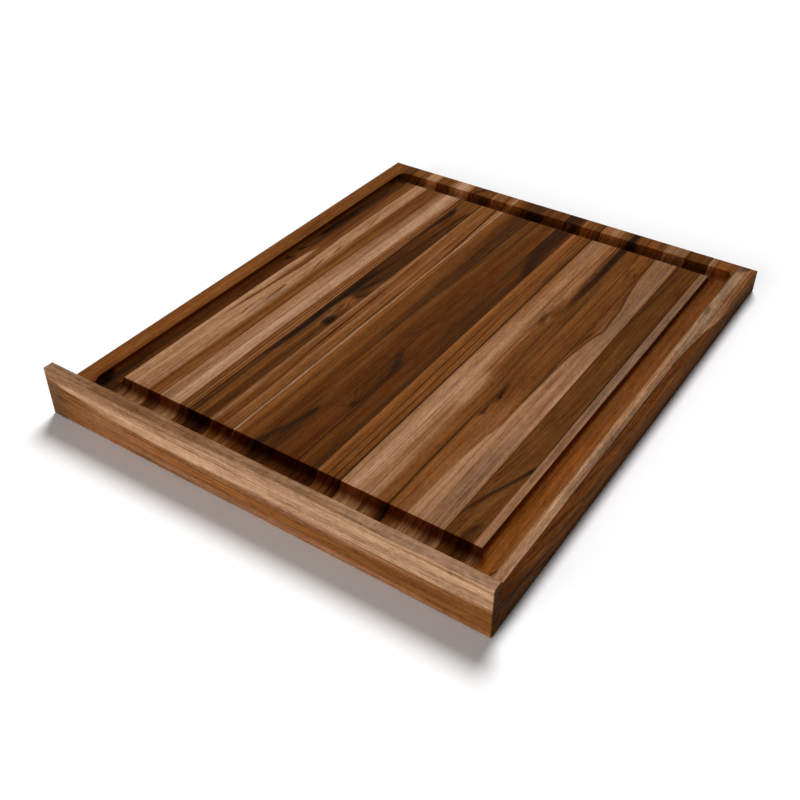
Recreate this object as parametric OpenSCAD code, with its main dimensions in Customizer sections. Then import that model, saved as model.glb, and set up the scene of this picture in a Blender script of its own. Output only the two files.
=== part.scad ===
// Glued-up edge-grain cutting board with a juice groove and a raised front lip.
// Staves run front to back (Y). The lip is one plank across the front (-Y) ends
// of the staves, flush with the underside and standing above the top face.
// Turned over, the lip hangs over the front edge of a worktop and stops the
// board from sliding. +Z is up, the origin is the middle of the footprint at
// the level the board rests on. All sizes are in millimetres.

/* [Board] */
// Width of the board across the staves
board_w = 508; // [440:1:580]
// Depth of the board along the staves, without the lip
board_d = 608; // [460:1:700]
// Thickness of the board
board_t = 27; // [25:0.5:40]
// Radius of the softened outer edges
edge_r = 1.5; // [0.5:0.25:2.5]

/* [Lip] */
// Thickness of the lip plank, front to back
lip_t = 12; // [11:0.5:20]
// Height of the lip from the underside to its top edge
lip_h = 57; // [50:1:80]

/* [Juice groove] */
// Width of the groove at the top face
groove_w = 22.5; // [22:0.5:24]
// Depth of the round-bottomed groove
groove_d = 11; // [6:0.5:11]
// Rim left outside the groove at the left, right and back
rim_w = 21.5; // [16:0.5:30]
// Rim between the lip and the front run of the groove
rim_front = 24; // [24:0.5:30]
// Radius of the softened edges along the groove
groove_edge_r = 0.75; // [0.5:0.25:1]

/* [Dowels] */
// Diameter of the hidden dowels that hold the lip
dowel_d = 8; // [6:0.5:8]
// Length of each dowel that sits in the lip
dowel_in_lip = 8; // [6:0.5:8]
// Length of each dowel that sits in a stave
dowel_in_stave = 22; // [15:0.5:22]
// Height of the dowel axes above the underside
dowel_z = 9.5; // [7:0.5:10]

/* [Hidden] */

$fn = 96;
e = 1;                                   // how far cutting shapes overrun

// Widths of the staves from left to right, for a board 508 wide
stave_widths = [24, 27, 27.5, 28, 26.5, 28, 27.5, 26.5, 25.5, 26.5,
                23.5, 26.5, 26, 27, 28.5, 28, 28.5, 28, 25];
// Staves whose front ends take a dowel, counted from 1
dowel_staves = [2, 5, 8, 10, 13, 16, 18];

function total(v, n) = n <= 0 ? 0 : v[n - 1] + total(v, n - 1);
scale_w = board_w / total(stave_widths, len(stave_widths));
// Left side of stave i, counted from 1; i one past the last is the right side
function stave_x(i) = -board_w / 2 + scale_w * total(stave_widths, i - 1);
function stave_mid(i) = (stave_x(i) + stave_x(i + 1)) / 2;

depth = board_d + lip_t;                 // whole footprint, front to back
y_front = -depth / 2;                    // front face of the lip
y_joint = y_front + lip_t;               // lip's inner face, staves' front ends
y_back = depth / 2;                      // back ends of the staves

// Groove section: a circle of radius groove_r whose centre is groove_h above
// the top face, and two small circles that round the groove's upper edges
groove_r = (groove_w * groove_w / 4 + groove_d * groove_d) / (2 * groove_d);
groove_h = groove_r - groove_d;
edge_u = sqrt(pow(groove_r + groove_edge_r, 2) - pow(groove_h + groove_edge_r, 2));
edge_z = -groove_edge_r + groove_edge_r * (groove_h + groove_edge_r) / (groove_r + groove_edge_r);

// Centre lines of the four runs of the groove
run_left = -board_w / 2 + rim_w + groove_w / 2;
run_right = -run_left;
run_back = y_back - rim_w - groove_w / 2;
run_front = y_joint + rim_front + groove_w / 2;

// Rectangle from (x0, y0) to (x1, y1) with exact round corners where wanted
module soft_rect(x0, y0, x1, y1, r, corners) {
    difference() {
        translate([x0, y0]) square([x1 - x0, y1 - y0]);
        for (c = corners) {
            sx = c[0]; sy = c[1];
            cx = sx < 0 ? x0 : x1;
            cy = sy < 0 ? y0 : y1;
            difference() {
                translate([cx - (sx > 0 ? r : e), cy - (sy > 0 ? r : e)])
                    square([r + e, r + e]);
                translate([cx - sx * r, cy - sy * r]) circle(r);
            }
        }
    }
}

// The board before the groove is cut: three crossed sections, so that every
// outer edge is softened and the front ends stay square against the lip
module board_blank() {
    intersection() {
        // section across the staves
        translate([0, y_back + e, 0]) rotate([90, 0, 0])
            linear_extrude(board_d + 2 * e)
                soft_rect(-board_w / 2, 0, board_w / 2, board_t, edge_r,
                          [[-1, 1], [1, 1], [-1, -1], [1, -1]]);
        // section along the staves
        translate([-board_w / 2 - e, 0, 0]) rotate([90, 0, 90])
            linear_extrude(board_w + 2 * e)
                soft_rect(y_joint, 0, y_back, board_t, edge_r,
                          [[1, 1], [1, -1]]);
        // plan, with the two back corners softened
        translate([0, 0, -e]) linear_extrude(board_t + 2 * e)
            soft_rect(-board_w / 2, y_joint, board_w / 2, y_back, edge_r,
                      [[-1, 1], [1, 1]]);
    }
}

// Half of the groove's section, for u >= 0, with z = 0 at the top face
module groove_half() {
    difference() {
        intersection() {
            union() {
                translate([0, groove_h]) circle(groove_r);
                translate([-edge_u, edge_z]) square([2 * edge_u, e - edge_z]);
            }
            translate([0, -groove_d - e]) square([edge_u, groove_d + 2 * e]);
        }
        translate([edge_u, -groove_edge_r]) circle(groove_edge_r);
    }
}

module groove_section() {
    groove_half();
    mirror([1, 0]) groove_half();
}

module groove_run(len) {
    rotate([90, 0, 90]) linear_extrude(len) groove_section();
}

// The whole groove: four straight runs and a turned pocket at each corner
module juice_groove() {
    translate([run_left, run_front, board_t]) groove_run(run_right - run_left);
    translate([run_left, run_back, board_t]) groove_run(run_right - run_left);
    for (x = [run_left, run_right])
        translate([x, run_front, board_t]) rotate([0, 0, 90])
            groove_run(run_back - run_front);
    for (x = [run_left, run_right], y = [run_front, run_back])
        translate([x, y, board_t]) rotate_extrude() groove_half();
}

module dowel_bore(i, y0, y1) {
    translate([stave_mid(i), y0, dowel_z]) rotate([-90, 0, 0])
        cylinder(h = y1 - y0, d = dowel_d + 0.1);
}

// One stave, counted from 1 at the left: its slice of the board, with its own
// share of the groove and, where it takes a dowel, a blind bore in its front end
module stave(i) {
    difference() {
        intersection() {
            board_blank();
            translate([stave_x(i), y_joint, -e])
                cube([stave_x(i + 1) - stave_x(i), board_d, board_t + 2 * e]);
        }
        juice_groove();
        if (len(search(i, dowel_staves)) > 0)
            dowel_bore(i, y_joint - e, y_joint + dowel_in_stave + 1);
    }
}

module stave_01() { color("#7a4c26") stave(1); }
module stave_02() { color("#6a4424") stave(2); }
module stave_03() { color("#a17650") stave(3); }
module stave_04() { color("#87603e") stave(4); }
module stave_05() { color("#a68460") stave(5); }
module stave_06() { color("#5c3d22") stave(6); }
module stave_07() { color("#84562f") stave(7); }
module stave_08() { color("#754a27") stave(8); }
module stave_09() { color("#543723") stave(9); }
module stave_10() { color("#5b3820") stave(10); }
module stave_11() { color("#452a18") stave(11); }
module stave_12() { color("#845228") stave(12); }
module stave_13() { color("#97704c") stave(13); }
module stave_14() { color("#6f4a2d") stave(14); }
module stave_15() { color("#77491f") stave(15); }
module stave_16() { color("#94694a") stave(16); }
module stave_17() { color("#5e3c1e") stave(17); }
module stave_18() { color("#8f6b4b") stave(18); }
module stave_19() { color("#8a6a48") stave(19); }

// The lip: one plank across the front, with blind bores in its inner face
module front_lip() {
    color("#9c7450")
    difference() {
        intersection() {
            // section across the plank; the lower inner edge meets the board
            translate([-board_w / 2 - e, 0, 0]) rotate([90, 0, 90])
                linear_extrude(board_w + 2 * e)
                    soft_rect(y_front, 0, y_joint, lip_h, edge_r,
                              [[-1, 1], [1, 1], [-1, -1]]);
            // face of the plank
            translate([0, y_joint + e, 0]) rotate([90, 0, 0])
                linear_extrude(lip_t + 2 * e)
                    soft_rect(-board_w / 2, 0, board_w / 2, lip_h, edge_r,
                              [[-1, 1], [1, 1], [-1, -1], [1, -1]]);
            // plan, with the two front corners softened
            translate([0, 0, -e]) linear_extrude(lip_h + 2 * e)
                soft_rect(-board_w / 2, y_front, board_w / 2, y_joint, edge_r,
                          [[-1, -1], [1, -1]]);
        }
        for (i = dowel_staves) dowel_bore(i, y_joint - dowel_in_lip - 1, y_joint + e);
    }
}

// One plain dowel with chamfered ends, lying along Y across the glue joint
module dowel(i) {
    c = 0.8;
    len = dowel_in_lip + dowel_in_stave;
    translate([stave_mid(i), y_joint - dowel_in_lip, dowel_z]) rotate([-90, 0, 0])
        rotate_extrude()
            polygon([[0, 0], [dowel_d / 2 - c, 0], [dowel_d / 2, c],
                     [dowel_d / 2, len - c], [dowel_d / 2 - c, len], [0, len]]);
}

module lip_dowels() { color("#c9a878") for (i = dowel_staves) dowel(i); }

stave_01();
stave_02();
stave_03();
stave_04();
stave_05();
stave_06();
stave_07();
stave_08();
stave_09();
stave_10();
stave_11();
stave_12();
stave_13();
stave_14();
stave_15();
stave_16();
stave_17();
stave_18();
stave_19();
front_lip();
lip_dowels();
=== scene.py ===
import bpy
import math
from mathutils import Matrix, Vector

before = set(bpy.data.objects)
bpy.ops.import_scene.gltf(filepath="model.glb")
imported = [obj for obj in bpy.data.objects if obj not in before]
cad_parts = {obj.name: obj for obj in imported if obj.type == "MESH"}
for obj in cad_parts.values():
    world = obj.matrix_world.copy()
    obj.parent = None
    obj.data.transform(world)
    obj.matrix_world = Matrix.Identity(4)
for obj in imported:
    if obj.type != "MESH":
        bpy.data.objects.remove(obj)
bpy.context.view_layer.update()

# ---------------------------------------------------------------- camera
# Stands in front of the board's right half and looks down at it.
CAM_AT = Vector((0.48583, -0.78734, 0.66440))
CAM_RIGHT = Vector((0.829755, 0.558123, 0.002288))
CAM_DOWN = Vector((0.350149, -0.517363, -0.780853))
CAM_AHEAD = Vector((-0.434628, 0.648718, -0.624711))

cam_data = bpy.data.cameras.new("camera")
cam_data.sensor_fit = "HORIZONTAL"
cam_data.sensor_width = 36.0
cam_data.lens = 46.59
cam_data.clip_start = 0.01
cam_data.clip_end = 60.0
cam = bpy.data.objects.new("camera", cam_data)
bpy.context.scene.collection.objects.link(cam)
m = Matrix.Identity(4)
for row in range(3):
    m[row][0] = CAM_RIGHT[row]
    m[row][1] = -CAM_DOWN[row]
    m[row][2] = -CAM_AHEAD[row]
    m[row][3] = CAM_AT[row]
cam.matrix_world = m
bpy.context.scene.camera = cam


# ---------------------------------------------------------------- tones
# Wood tones, as they look on the cutting face in plain white light.
TONES = {
    "blond": "#b88f6d",
    "cream": "#a47e5e",
    "tan": "#9b704e",
    "palegold": "#a07650",
    "pinktan": "#8c6343",
    "greytan": "#846248",
    "mauve": "#785a44",
    "tanbrown": "#80522e",
    "amber": "#7c4a22",
    "honey": "#70411b",
    "rust": "#643414",
    "brown": "#643b18",
    "olive": "#5d3614",
    "redbrown": "#552d0f",
    "umber": "#42250e",
    "greybrown": "#482b14",
    "dark": "#321b0b",
    "slate": "#2b1c12",
    "black": "#1c120b",
}


def linear(tone):
    h = TONES.get(tone, tone).lstrip("#")
    out = []
    for i in (0, 2, 4):
        c = int(h[i:i + 2], 16) / 255.0
        out.append(c / 12.92 if c <= 0.04045 else ((c + 0.055) / 1.055) ** 2.4)
    return (out[0], out[1], out[2], 1.0)


# ---------------------------------------------------------------- node helpers
class V:
    """A value in a node tree, so that sums can be written plainly."""

    def __init__(self, net, sock):
        self.net, self.sock = net, sock

    def __add__(self, o): return self.net.math("ADD", self, o)
    def __radd__(self, o): return self.net.math("ADD", o, self)
    def __sub__(self, o): return self.net.math("SUBTRACT", self, o)
    def __rsub__(self, o): return self.net.math("SUBTRACT", o, self)
    def __mul__(self, o): return self.net.math("MULTIPLY", self, o)
    def __rmul__(self, o): return self.net.math("MULTIPLY", o, self)
    def __truediv__(self, o): return self.net.math("DIVIDE", self, o)
    def __neg__(self): return self.net.math("MULTIPLY", self, -1.0)


class Net:
    def __init__(self, name):
        self.mat = bpy.data.materials.new(name)
        self.mat.use_nodes = True
        self.t = self.mat.node_tree
        self.t.nodes.clear()

    def put(self, sock, v):
        if isinstance(v, V):
            self.t.links.new(v.sock, sock)
        else:
            sock.default_value = v

    def math(self, op, a, b=None, c=None, clamp=False):
        n = self.t.nodes.new("ShaderNodeMath")
        n.operation = op
        n.use_clamp = clamp
        for i, v in enumerate((a, b, c)):
            if v is not None:
                self.put(n.inputs[i], v)
        return V(self, n.outputs[0])

    def abs(self, a): return self.math("ABSOLUTE", a)
    def min(self, a, b): return self.math("MINIMUM", a, b)
    def max(self, a, b): return self.math("MAXIMUM", a, b)
    def pow(self, a, b): return self.math("POWER", a, b)
    def sin(self, a): return self.math("SINE", a)
    def sqrt(self, a): return self.math("SQRT", a)

    def step(self, x, a, b, lo=0.0, hi=1.0):
        """Smooth change from lo at a to hi at b."""
        n = self.t.nodes.new("ShaderNodeMapRange")
        n.interpolation_type = "SMOOTHSTEP"
        n.clamp = True
        self.put(n.inputs["Value"], x)
        self.put(n.inputs["From Min"], a)
        self.put(n.inputs["From Max"], b)
        self.put(n.inputs["To Min"], lo)
        self.put(n.inputs["To Max"], hi)
        return V(self, n.outputs["Result"])

    def vec(self, x, y, z):
        n = self.t.nodes.new("ShaderNodeCombineXYZ")
        for s, v in zip(n.inputs, (x, y, z)):
            self.put(s, v)
        return V(self, n.outputs[0])

    def noise(self, x, y, z, detail=2.0, rough=0.5, lac=2.0, warp=0.0):
        """Noise about 0, mostly between -1 and 1."""
        n = self.t.nodes.new("ShaderNodeTexNoise")
        n.noise_dimensions = "3D"
        self.put(n.inputs["Vector"], self.vec(x, y, z))
        n.inputs["Scale"].default_value = 1.0
        n.inputs["Detail"].default_value = detail
        n.inputs["Roughness"].default_value = rough
        n.inputs["Lacunarity"].default_value = lac
        n.inputs["Distortion"].default_value = warp
        return self.math("MULTIPLY_ADD", V(self, n.outputs[0]), 4.0, -2.0)

    def ramp(self, fac, stops, interp="LINEAR"):
        """stops are (position from 0 to 1, (r, g, b, a))."""
        n = self.t.nodes.new("ShaderNodeValToRGB")
        r = n.color_ramp
        r.interpolation = interp
        stops = sorted(stops, key=lambda s: s[0])
        while len(r.elements) > 1:
            r.elements.remove(r.elements[-1])
        r.elements[0].position = min(max(stops[0][0], 0.0), 1.0)
        r.elements[0].color = stops[0][1]
        for p, c in stops[1:]:
            e = r.elements.new(min(max(p, 0.0), 1.0))
            e.color = c
        self.put(n.inputs[0], fac)
        return V(self, n.outputs[0])

    def split(self, col):
        n = self.t.nodes.new("ShaderNodeSeparateXYZ")
        self.put(n.inputs[0], col)
        return [V(self, o) for o in n.outputs]

    def mix(self, fac, a, b, kind="MIX"):
        n = self.t.nodes.new("ShaderNodeMix")
        n.data_type = "RGBA"
        n.blend_type = kind
        n.clamp_result = False
        n.clamp_factor = True
        self.put(n.inputs[0], fac)
        self.put(n.inputs[6], a)
        self.put(n.inputs[7], b)
        return V(self, n.outputs[2])


# ---------------------------------------------------------------- one mark
def mark_kit():
    """The nodes that lay one long mark over a colour, as a group to be copied."""
    g = bpy.data.node_groups.new("mark", "ShaderNodeTree")
    for name, kind in (("a", "NodeSocketFloat"), ("s", "NodeSocketFloat"),
                       ("fray", "NodeSocketFloat"), ("col", "NodeSocketColor")):
        g.interface.new_socket(name, in_out="INPUT", socket_type=kind)
    g.interface.new_socket("col", in_out="OUTPUT", socket_type="NodeSocketColor")
    g.interface.new_socket("cover", in_out="OUTPUT", socket_type="NodeSocketFloat")

    def node(kind, name, op=None):
        n = g.nodes.new(kind)
        n.name = name
        if op:
            n.operation = op
        return n

    src, dst = node("NodeGroupInput", "src"), node("NodeGroupOutput", "dst")
    t = node("ShaderNodeMath", "t", "MULTIPLY_ADD")
    t.use_clamp = True
    ramp = node("ShaderNodeValToRGB", "ramp")
    sep = node("ShaderNodeSeparateXYZ", "sep")
    pos = node("ShaderNodeMath", "pos", "MULTIPLY_ADD")
    fray = node("ShaderNodeMath", "fray", "MULTIPLY_ADD")
    dif = node("ShaderNodeMath", "dif", "SUBTRACT")
    far = node("ShaderNodeMath", "far", "ABSOLUTE")
    half = node("ShaderNodeMath", "half", "MULTIPLY_ADD")
    half.inputs[2].default_value = -5.0
    off = node("ShaderNodeMath", "off", "SUBTRACT")
    edge = node("ShaderNodeMapRange", "edge")
    edge.interpolation_type = "SMOOTHSTEP"
    edge.inputs["To Max"].default_value = 0.0
    cover = node("ShaderNodeMath", "cover", "MULTIPLY")
    mix = node("ShaderNodeMix", "mix")
    mix.data_type = "RGBA"
    link = g.links.new
    link(src.outputs[0], t.inputs[0])
    link(t.outputs[0], ramp.inputs[0])
    link(ramp.outputs[0], sep.inputs[0])
    link(sep.outputs[0], pos.inputs[0])
    link(src.outputs[2], fray.inputs[0])
    link(src.outputs[1], fray.inputs[2])
    link(fray.outputs[0], dif.inputs[0])
    link(pos.outputs[0], dif.inputs[1])
    link(dif.outputs[0], far.inputs[0])
    link(sep.outputs[1], half.inputs[0])
    link(far.outputs[0], off.inputs[0])
    link(half.outputs[0], off.inputs[1])
    link(off.outputs[0], edge.inputs["Value"])
    link(edge.outputs["Result"], cover.inputs[0])
    link(sep.outputs[2], cover.inputs[1])
    link(cover.outputs[0], mix.inputs[0])
    link(src.outputs[3], mix.inputs[6])
    link(mix.outputs[2], dst.inputs[0])
    link(cover.outputs[0], dst.inputs[1])
    return g


MARK_KIT = mark_kit()


# ---------------------------------------------------------------- the wood itself
class Wood:
    """One piece of timber. a runs along the grain and s across it, both in
    millimetres, and d is the depth below the face that the figure is read on."""

    def __init__(self, name, axis="Y", seed=1.0, lean=10.0, arc=0.004, sway=1.0):
        self.n = n = Net(name)
        tc = n.t.nodes.new("ShaderNodeTexCoord")
        p = n.split(V(n, tc.outputs["Object"]))
        nor = n.split(V(n, tc.outputs["Normal"]))
        self.seed = seed
        if axis == "Y":                     # staves: along Y, figure on the top face
            self.x = n.math("MULTIPLY_ADD", p[0], 997.4067, 252.4437)
            self.a = n.math("MULTIPLY_ADD", p[1], 995.5202, 309.4733)
            self.d = n.math("MULTIPLY_ADD", p[2], -1000.0, 27.0)
            self.end = n.step(n.abs(nor[1]), 0.12, 0.75)
        elif axis == "X":                   # lip: along X, figure on the front face
            self.x = n.math("MULTIPLY", p[2], 1000.0)
            self.a = n.math("MULTIPLY", p[0], 1000.0)
            self.d = n.math("MULTIPLY_ADD", p[1], 1000.0, 310.0)
            self.end = n.step(n.abs(nor[0]), 0.12, 0.75)
        self.nor = nor
        self.p = p
        self.fray = None
        wide = n.noise(self.x * (1 / 55.0) + seed, self.a * (1 / 260.0) + seed * 1.7,
                       self.d * (1 / 40.0), 1.0)
        fine = n.noise(self.x * (1 / 9.0) + seed * 3.1, self.a * (1 / 60.0),
                       self.d * (1 / 12.0) + seed, 2.0)
        self.wob = wide * (1.1 * sway) + fine * (0.28 * sway)
        k = math.tan(math.radians(lean))
        self.s = self.x + self.wob + self.d * k + self.d * self.d * arc
        self.u = self.s
        self.col = None
        self.gloss = None

    # tones across the piece, changing slowly along it
    def base(self, x0, x1, rows, interp="EASE"):
        n = self.n
        t = (self.u - x0) / (x1 - x0)
        drift = n.noise(self.u * (1 / 7.0), self.a * (1 / 160.0), self.seed, 2.0) * 22.0
        self.col = None
        last = None
        for at, tones in rows:
            stops = [((x - x0) / (x1 - x0), linear(c)) for x, c in tones]
            c = n.ramp(t, stops, interp)
            if self.col is None:
                self.col = c
            else:
                self.col = n.mix(n.step(self.a + drift, last, at), self.col, c)
            last = at

    # a long mark of one tone that follows given points
    def mark(self, tone, pts, e=0.8, amount=1.0, frayed=0.0, on="s"):
        """pts are (along, across, half width, strength), e softens its edges."""
        n = self.n
        pts = sorted(pts)
        a0, a1 = pts[0][0], pts[-1][0]
        xs = [q[1] for q in pts]
        x0, xr = min(xs) - 1.0, max(max(xs) - min(xs) + 2.0, 1.0)
        hm = max(max(q[2] for q in pts) + 6.0, 8.0)
        g = MARK_KIT.copy()
        k = g.nodes
        k["t"].inputs[1].default_value = 1.0 / (a1 - a0)
        k["t"].inputs[2].default_value = -a0 / (a1 - a0)
        r = k["ramp"].color_ramp
        spots = [((q[0] - a0) / (a1 - a0),
                  ((q[1] - x0) / xr, (q[2] + 5.0) / hm, min(q[3], 1.0), 1.0)) for q in pts]
        r.elements[0].position, r.elements[0].color = spots[0]
        r.elements[1].position, r.elements[1].color = spots[-1]
        for at, c in spots[1:-1]:
            r.elements.new(at).color = c
        k["pos"].inputs[1].default_value = xr
        k["pos"].inputs[2].default_value = x0
        k["fray"].inputs[1].default_value = frayed
        k["half"].inputs[1].default_value = hm
        k["edge"].inputs["From Min"].default_value = -e
        k["edge"].inputs["From Max"].default_value = e
        k["edge"].inputs["To Min"].default_value = amount
        k["mix"].inputs[7].default_value = linear(tone)
        if frayed and self.fray is None:
            self.fray = n.noise(self.x * (1 / 1.6), self.a * (1 / 26.0),
                                self.d * 0.3 + self.seed, 2.0)
        b = n.t.nodes.new("ShaderNodeGroup")
        b.node_tree = g
        n.put(b.inputs[0], self.a)
        n.put(b.inputs[1], getattr(self, on))
        if frayed:
            n.put(b.inputs[2], self.fray)
        n.put(b.inputs[3], self.col)
        self.col = V(n, b.outputs[0])
        return V(n, b.outputs[1])

    # the whole width made darker or lighter from one place along it to the next
    def dim(self, a0, a1, k):
        n = self.n
        self.col = n.mix(n.step(self.a, a0, a1), self.col,
                         n.mix(1.0, self.col, tuple(k) + (1.0,), "MULTIPLY"))

    # a soft patch
    def patch(self, tone, a, x, ra, rx, amount=0.6, rag=0.5, size=6.0):
        n = self.n
        g = n.noise(self.x * (1 / size), self.a * (1 / (size * 3.2)), self.d * 0.1 + self.seed, 3.0)
        da = (self.a - a) * (1.0 / ra)
        dx = (self.s - x) * (1.0 / rx)
        r = n.sqrt(da * da + dx * dx) + g * rag
        m = n.step(r, 0.45, 1.15, amount, 0.0)
        self.col = n.mix(m, self.col, linear(tone))
        return m

    # a tone that only shows below the cutting face, on the groove's walls and floor
    def under(self, tone, a0, a1, x0, x1, amount=0.8, e=1.2, ea=3.0):
        n = self.n
        m = n.step(self.d, 0.3, 2.2) * n.step(self.a, a0 - ea, a0 + ea)
        m = m * n.step(self.a, a1 - ea, a1 + ea, 1.0, 0.0)
        m = m * n.step(self.s, x0 - e, x0 + e) * n.step(self.s, x1 - e, x1 + e, amount, 0.0)
        self.col = n.mix(m, self.col, linear(tone))

    # grain bends round a point
    def bend(self, a, x, ra, rx, push):
        n = self.n
        da = (self.a - a) * (1.0 / ra)
        dx = (self.s - x) * (1.0 / rx)
        r2 = da * da + dx * dx
        w = n.math("EXPONENT", r2 * -1.0)
        self.u = self.u - dx * w * push

    # lines of grain drift sideways: pts are (along, shift)
    def drift(self, pts, x=None, half=None):
        n = self.n
        pts = sorted(pts)
        a0, a1 = pts[0][0], pts[-1][0]
        lo = min(q[1] for q in pts)
        hi = max(q[1] for q in pts)
        span = max(hi - lo, 0.01)
        t = n.math("MULTIPLY_ADD", self.a, 1.0 / (a1 - a0), -a0 / (a1 - a0), clamp=True)
        c = n.split(n.ramp(t, [((q[0] - a0) / (a1 - a0), ((q[1] - lo) / span,) * 3 + (1.0,))
                               for q in pts], "B_SPLINE"))[0]
        sh = n.math("MULTIPLY_ADD", c, span, lo)
        if x is not None:
            sh = sh * n.step(n.abs(self.s - x), half * 0.2, half, 1.0, 0.0)
        self.u = self.u - sh

    def knot(self, a, x, ra, rx, tone="dark", heart="black", amount=0.9, rings=9.0):
        n = self.n
        g = n.noise(self.x * 0.35, self.a * 0.16, self.d * 0.2 + self.seed, 3.0)
        da = (self.a - a) * (1.0 / ra)
        dx = (self.s - x) * (1.0 / rx)
        r = n.sqrt(da * da + dx * dx) + g * 0.16
        ring = n.step(n.sin(r * rings), -0.2, 0.9)
        fade = n.step(r, 0.7, 2.4, 1.0, 0.0)
        self.col = n.mix(ring * fade * (0.55 * amount), self.col, linear(tone))
        self.col = n.mix(n.step(r, 0.45, 1.0, amount, 0.0), self.col, linear(heart))

    # fine lines, pores, end grain, joints, and the finished shader
    def finish(self, stripes=1.0, pins=0.5, pin_gap=3.2, pores=1.0, warm=1.0, joints=None,
               ripple=0.0, mottle=1.0, end_tone=(0.74, 0.50, 0.30), run_tone=(0.60, 0.52, 0.42),
               wall_tone=None, gain=1.0,
               side_gain=1.0, rough=0.6, spec=0.008):
        n, s = self.n, self.seed
        u, a, d = self.u, self.a, self.d
        n1 = n.noise(u * (1 / 6.0), a * (1 / 420.0) + s, d * (1 / 26.0), 2.0)
        n2 = n.noise(u * (1 / 2.1) + s, a * (1 / 170.0), d * (1 / 9.0), 3.0, 0.6)
        n3 = n.noise(u * (1 / 0.7), a * (1 / 45.0) + s, d * (1 / 2.5), 2.0, 0.6)
        n4 = n.noise(self.x * (1 / 1.3), a * (1 / 7.5) + s, d * (1 / 3.0), 2.0, 0.6)
        cloud = n.noise(self.x * (1 / 8.0) + s, a * (1 / 38.0), d * (1 / 20.0), 3.0, 0.6)
        lines = n.abs(n.noise(u * (1 / pin_gap) + s * 2.3, a * (1 / 650.0), d * (1 / 24.0), 1.0))
        lines = n.step(lines, 0.02, 0.22, 1.0, 0.0)
        lines = lines * n.step(n.noise(u * 0.16, a * (1 / 130.0), s, 1.0), -0.7, 0.6)
        shade = (n1 * (0.21 * stripes) + n2 * (0.34 * stripes) + n3 * (0.26 * stripes)
                 + cloud * (0.18 * mottle) + n4 * (0.21 * mottle) - lines * (0.46 * pins))
        # the front and back runs of the groove, where the staves are cut across
        yy = self.p[1]
        run = n.step(n.abs(yy + 0.26275), 0.0108, 0.0116, 1.0, 0.0)
        run = n.max(run, n.step(n.abs(yy - 0.27725), 0.0108, 0.0116, 1.0, 0.0))
        run = run * n.step(self.d, 0.15, 1.2) * n.step(n.abs(self.p[0]), 0.2135, 0.2225, 1.0, 0.0)
        rings = n.noise(u * (1 / 2.6) + s * 1.9, s, d * (1 / 16.0) + 3.0, 3.0, 0.6)
        rings = rings + n.noise(u * (1 / 7.0) + s, s * 2.0, d * (1 / 30.0), 1.0) * 0.6
        shade = shade + rings * run * 0.34
        if ripple:
            rp = n.noise(self.x * (1 / 24.0), (a + self.x * 0.35) * (1 / 4.2), s, 2.0, 0.6)
            rq = n.noise(self.x * (1 / 30.0) + 4.0, a * (1 / 45.0), s, 1.0)
            shade = shade + rp * (n.step(rq, -0.6, 0.7, 0.35, 1.0) * ripple)
        # short dark pores along the grain
        pr = n.noise(self.x * (1 / 0.5) + s, a * (1 / 11.0), d * (1 / 0.7), 1.0)
        pr = n.step(pr, 0.55, 1.15)
        shade = shade - pr * (0.36 * pores)
        k = n.math("ADD", shade, 1.0 + 0.03 * pores + 0.04 * pins)
        k = n.max(k, 0.10)
        tint = n.vec(k * gain, n.pow(k, 1.0 + 0.22 * warm) * gain, n.pow(k, 1.0 + 0.45 * warm) * gain)
        col = n.mix(1.0, self.col, tint, "MULTIPLY")
        if joints:
            j0, j1 = joints
            g = n.min(n.abs(self.x - j0), n.abs(self.x - j1))
            gm = n.step(g, 0.05, 0.55, 0.40, 0.0)
            col = n.mix(gm, col, linear("#241408"))
        # end grain drinks the oil: darker, redder, finely speckled
        speck = n.noise(self.p[0] * 1300.0, self.p[1] * 300.0, self.p[2] * 1300.0, 2.0)
        er, eg, eb = end_tone
        ek = n.math("MULTIPLY_ADD", speck, 0.16, 1.0)
        ecol = n.mix(1.0, col, n.vec(ek * er, ek * eg, ek * eb), "MULTIPLY")
        col = n.mix(self.end, col, ecol)
        fr, fg, fb = run_tone               # painted shade on the bottom of those runs, darker than the lamps leave it
        run_floor_shade_mask = run * n.math("SUBTRACT", 1.0, self.end)
        col = n.mix(run_floor_shade_mask, col, n.mix(1.0, col, n.vec(fr, fg, fb), "MULTIPLY"))
        if wall_tone:                       # steep groove walls, cut along the grain, given painted shade: darker and more saturated than the lamps alone leave them
            wall_shade_mask = n.step(n.abs(self.nor[0]), 0.74, 0.90) * n.step(self.d, 12.5, 11.5)
            wall_shade_mask = wall_shade_mask * n.step(n.abs(self.p[0]), 0.2525, 0.2515)
            wr, wg, wb = wall_tone
            col = n.mix(wall_shade_mask, col, n.mix(1.0, col, n.vec(wr, wg, wb), "MULTIPLY"))
        if side_gain != 1.0:                # painted light on the outer side at the right: made lighter than the lamps leave it, most near its top edge
            sm = n.step(self.nor[0], 0.35, 0.95) * n.step(self.p[0], 0.2515, 0.2525)
            side_light_lift = n.step(self.d, 4.0, 26.0, side_gain, side_gain * 0.62)
            col = n.mix(sm, col, n.mix(1.0, col, n.vec(side_light_lift, side_light_lift, side_light_lift), "MULTIPLY"))
        # shader
        b = n.t.nodes.new("ShaderNodeBsdfPrincipled")
        out = n.t.nodes.new("ShaderNodeOutputMaterial")
        n.put(b.inputs["Base Color"], col)
        r = n2 * 0.035 + n3 * 0.03 + pr * 0.12 + self.end * 0.16 + rough
        n.put(b.inputs["Roughness"], r)
        b.inputs["Specular IOR Level"].default_value = spec
        b.inputs["IOR"].default_value = 1.45
        h = n3 * 0.35 + n2 * 0.25 - pr * 1.0
        bump = n.t.nodes.new("ShaderNodeBump")
        bump.inputs["Strength"].default_value = 0.35
        bump.inputs["Distance"].default_value = 0.00009
        n.put(bump.inputs["Height"], h)
        n.t.links.new(bump.outputs["Normal"], b.inputs["Normal"])
        n.t.links.new(b.outputs[0], out.inputs["Surface"])
        return n.mat


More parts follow.
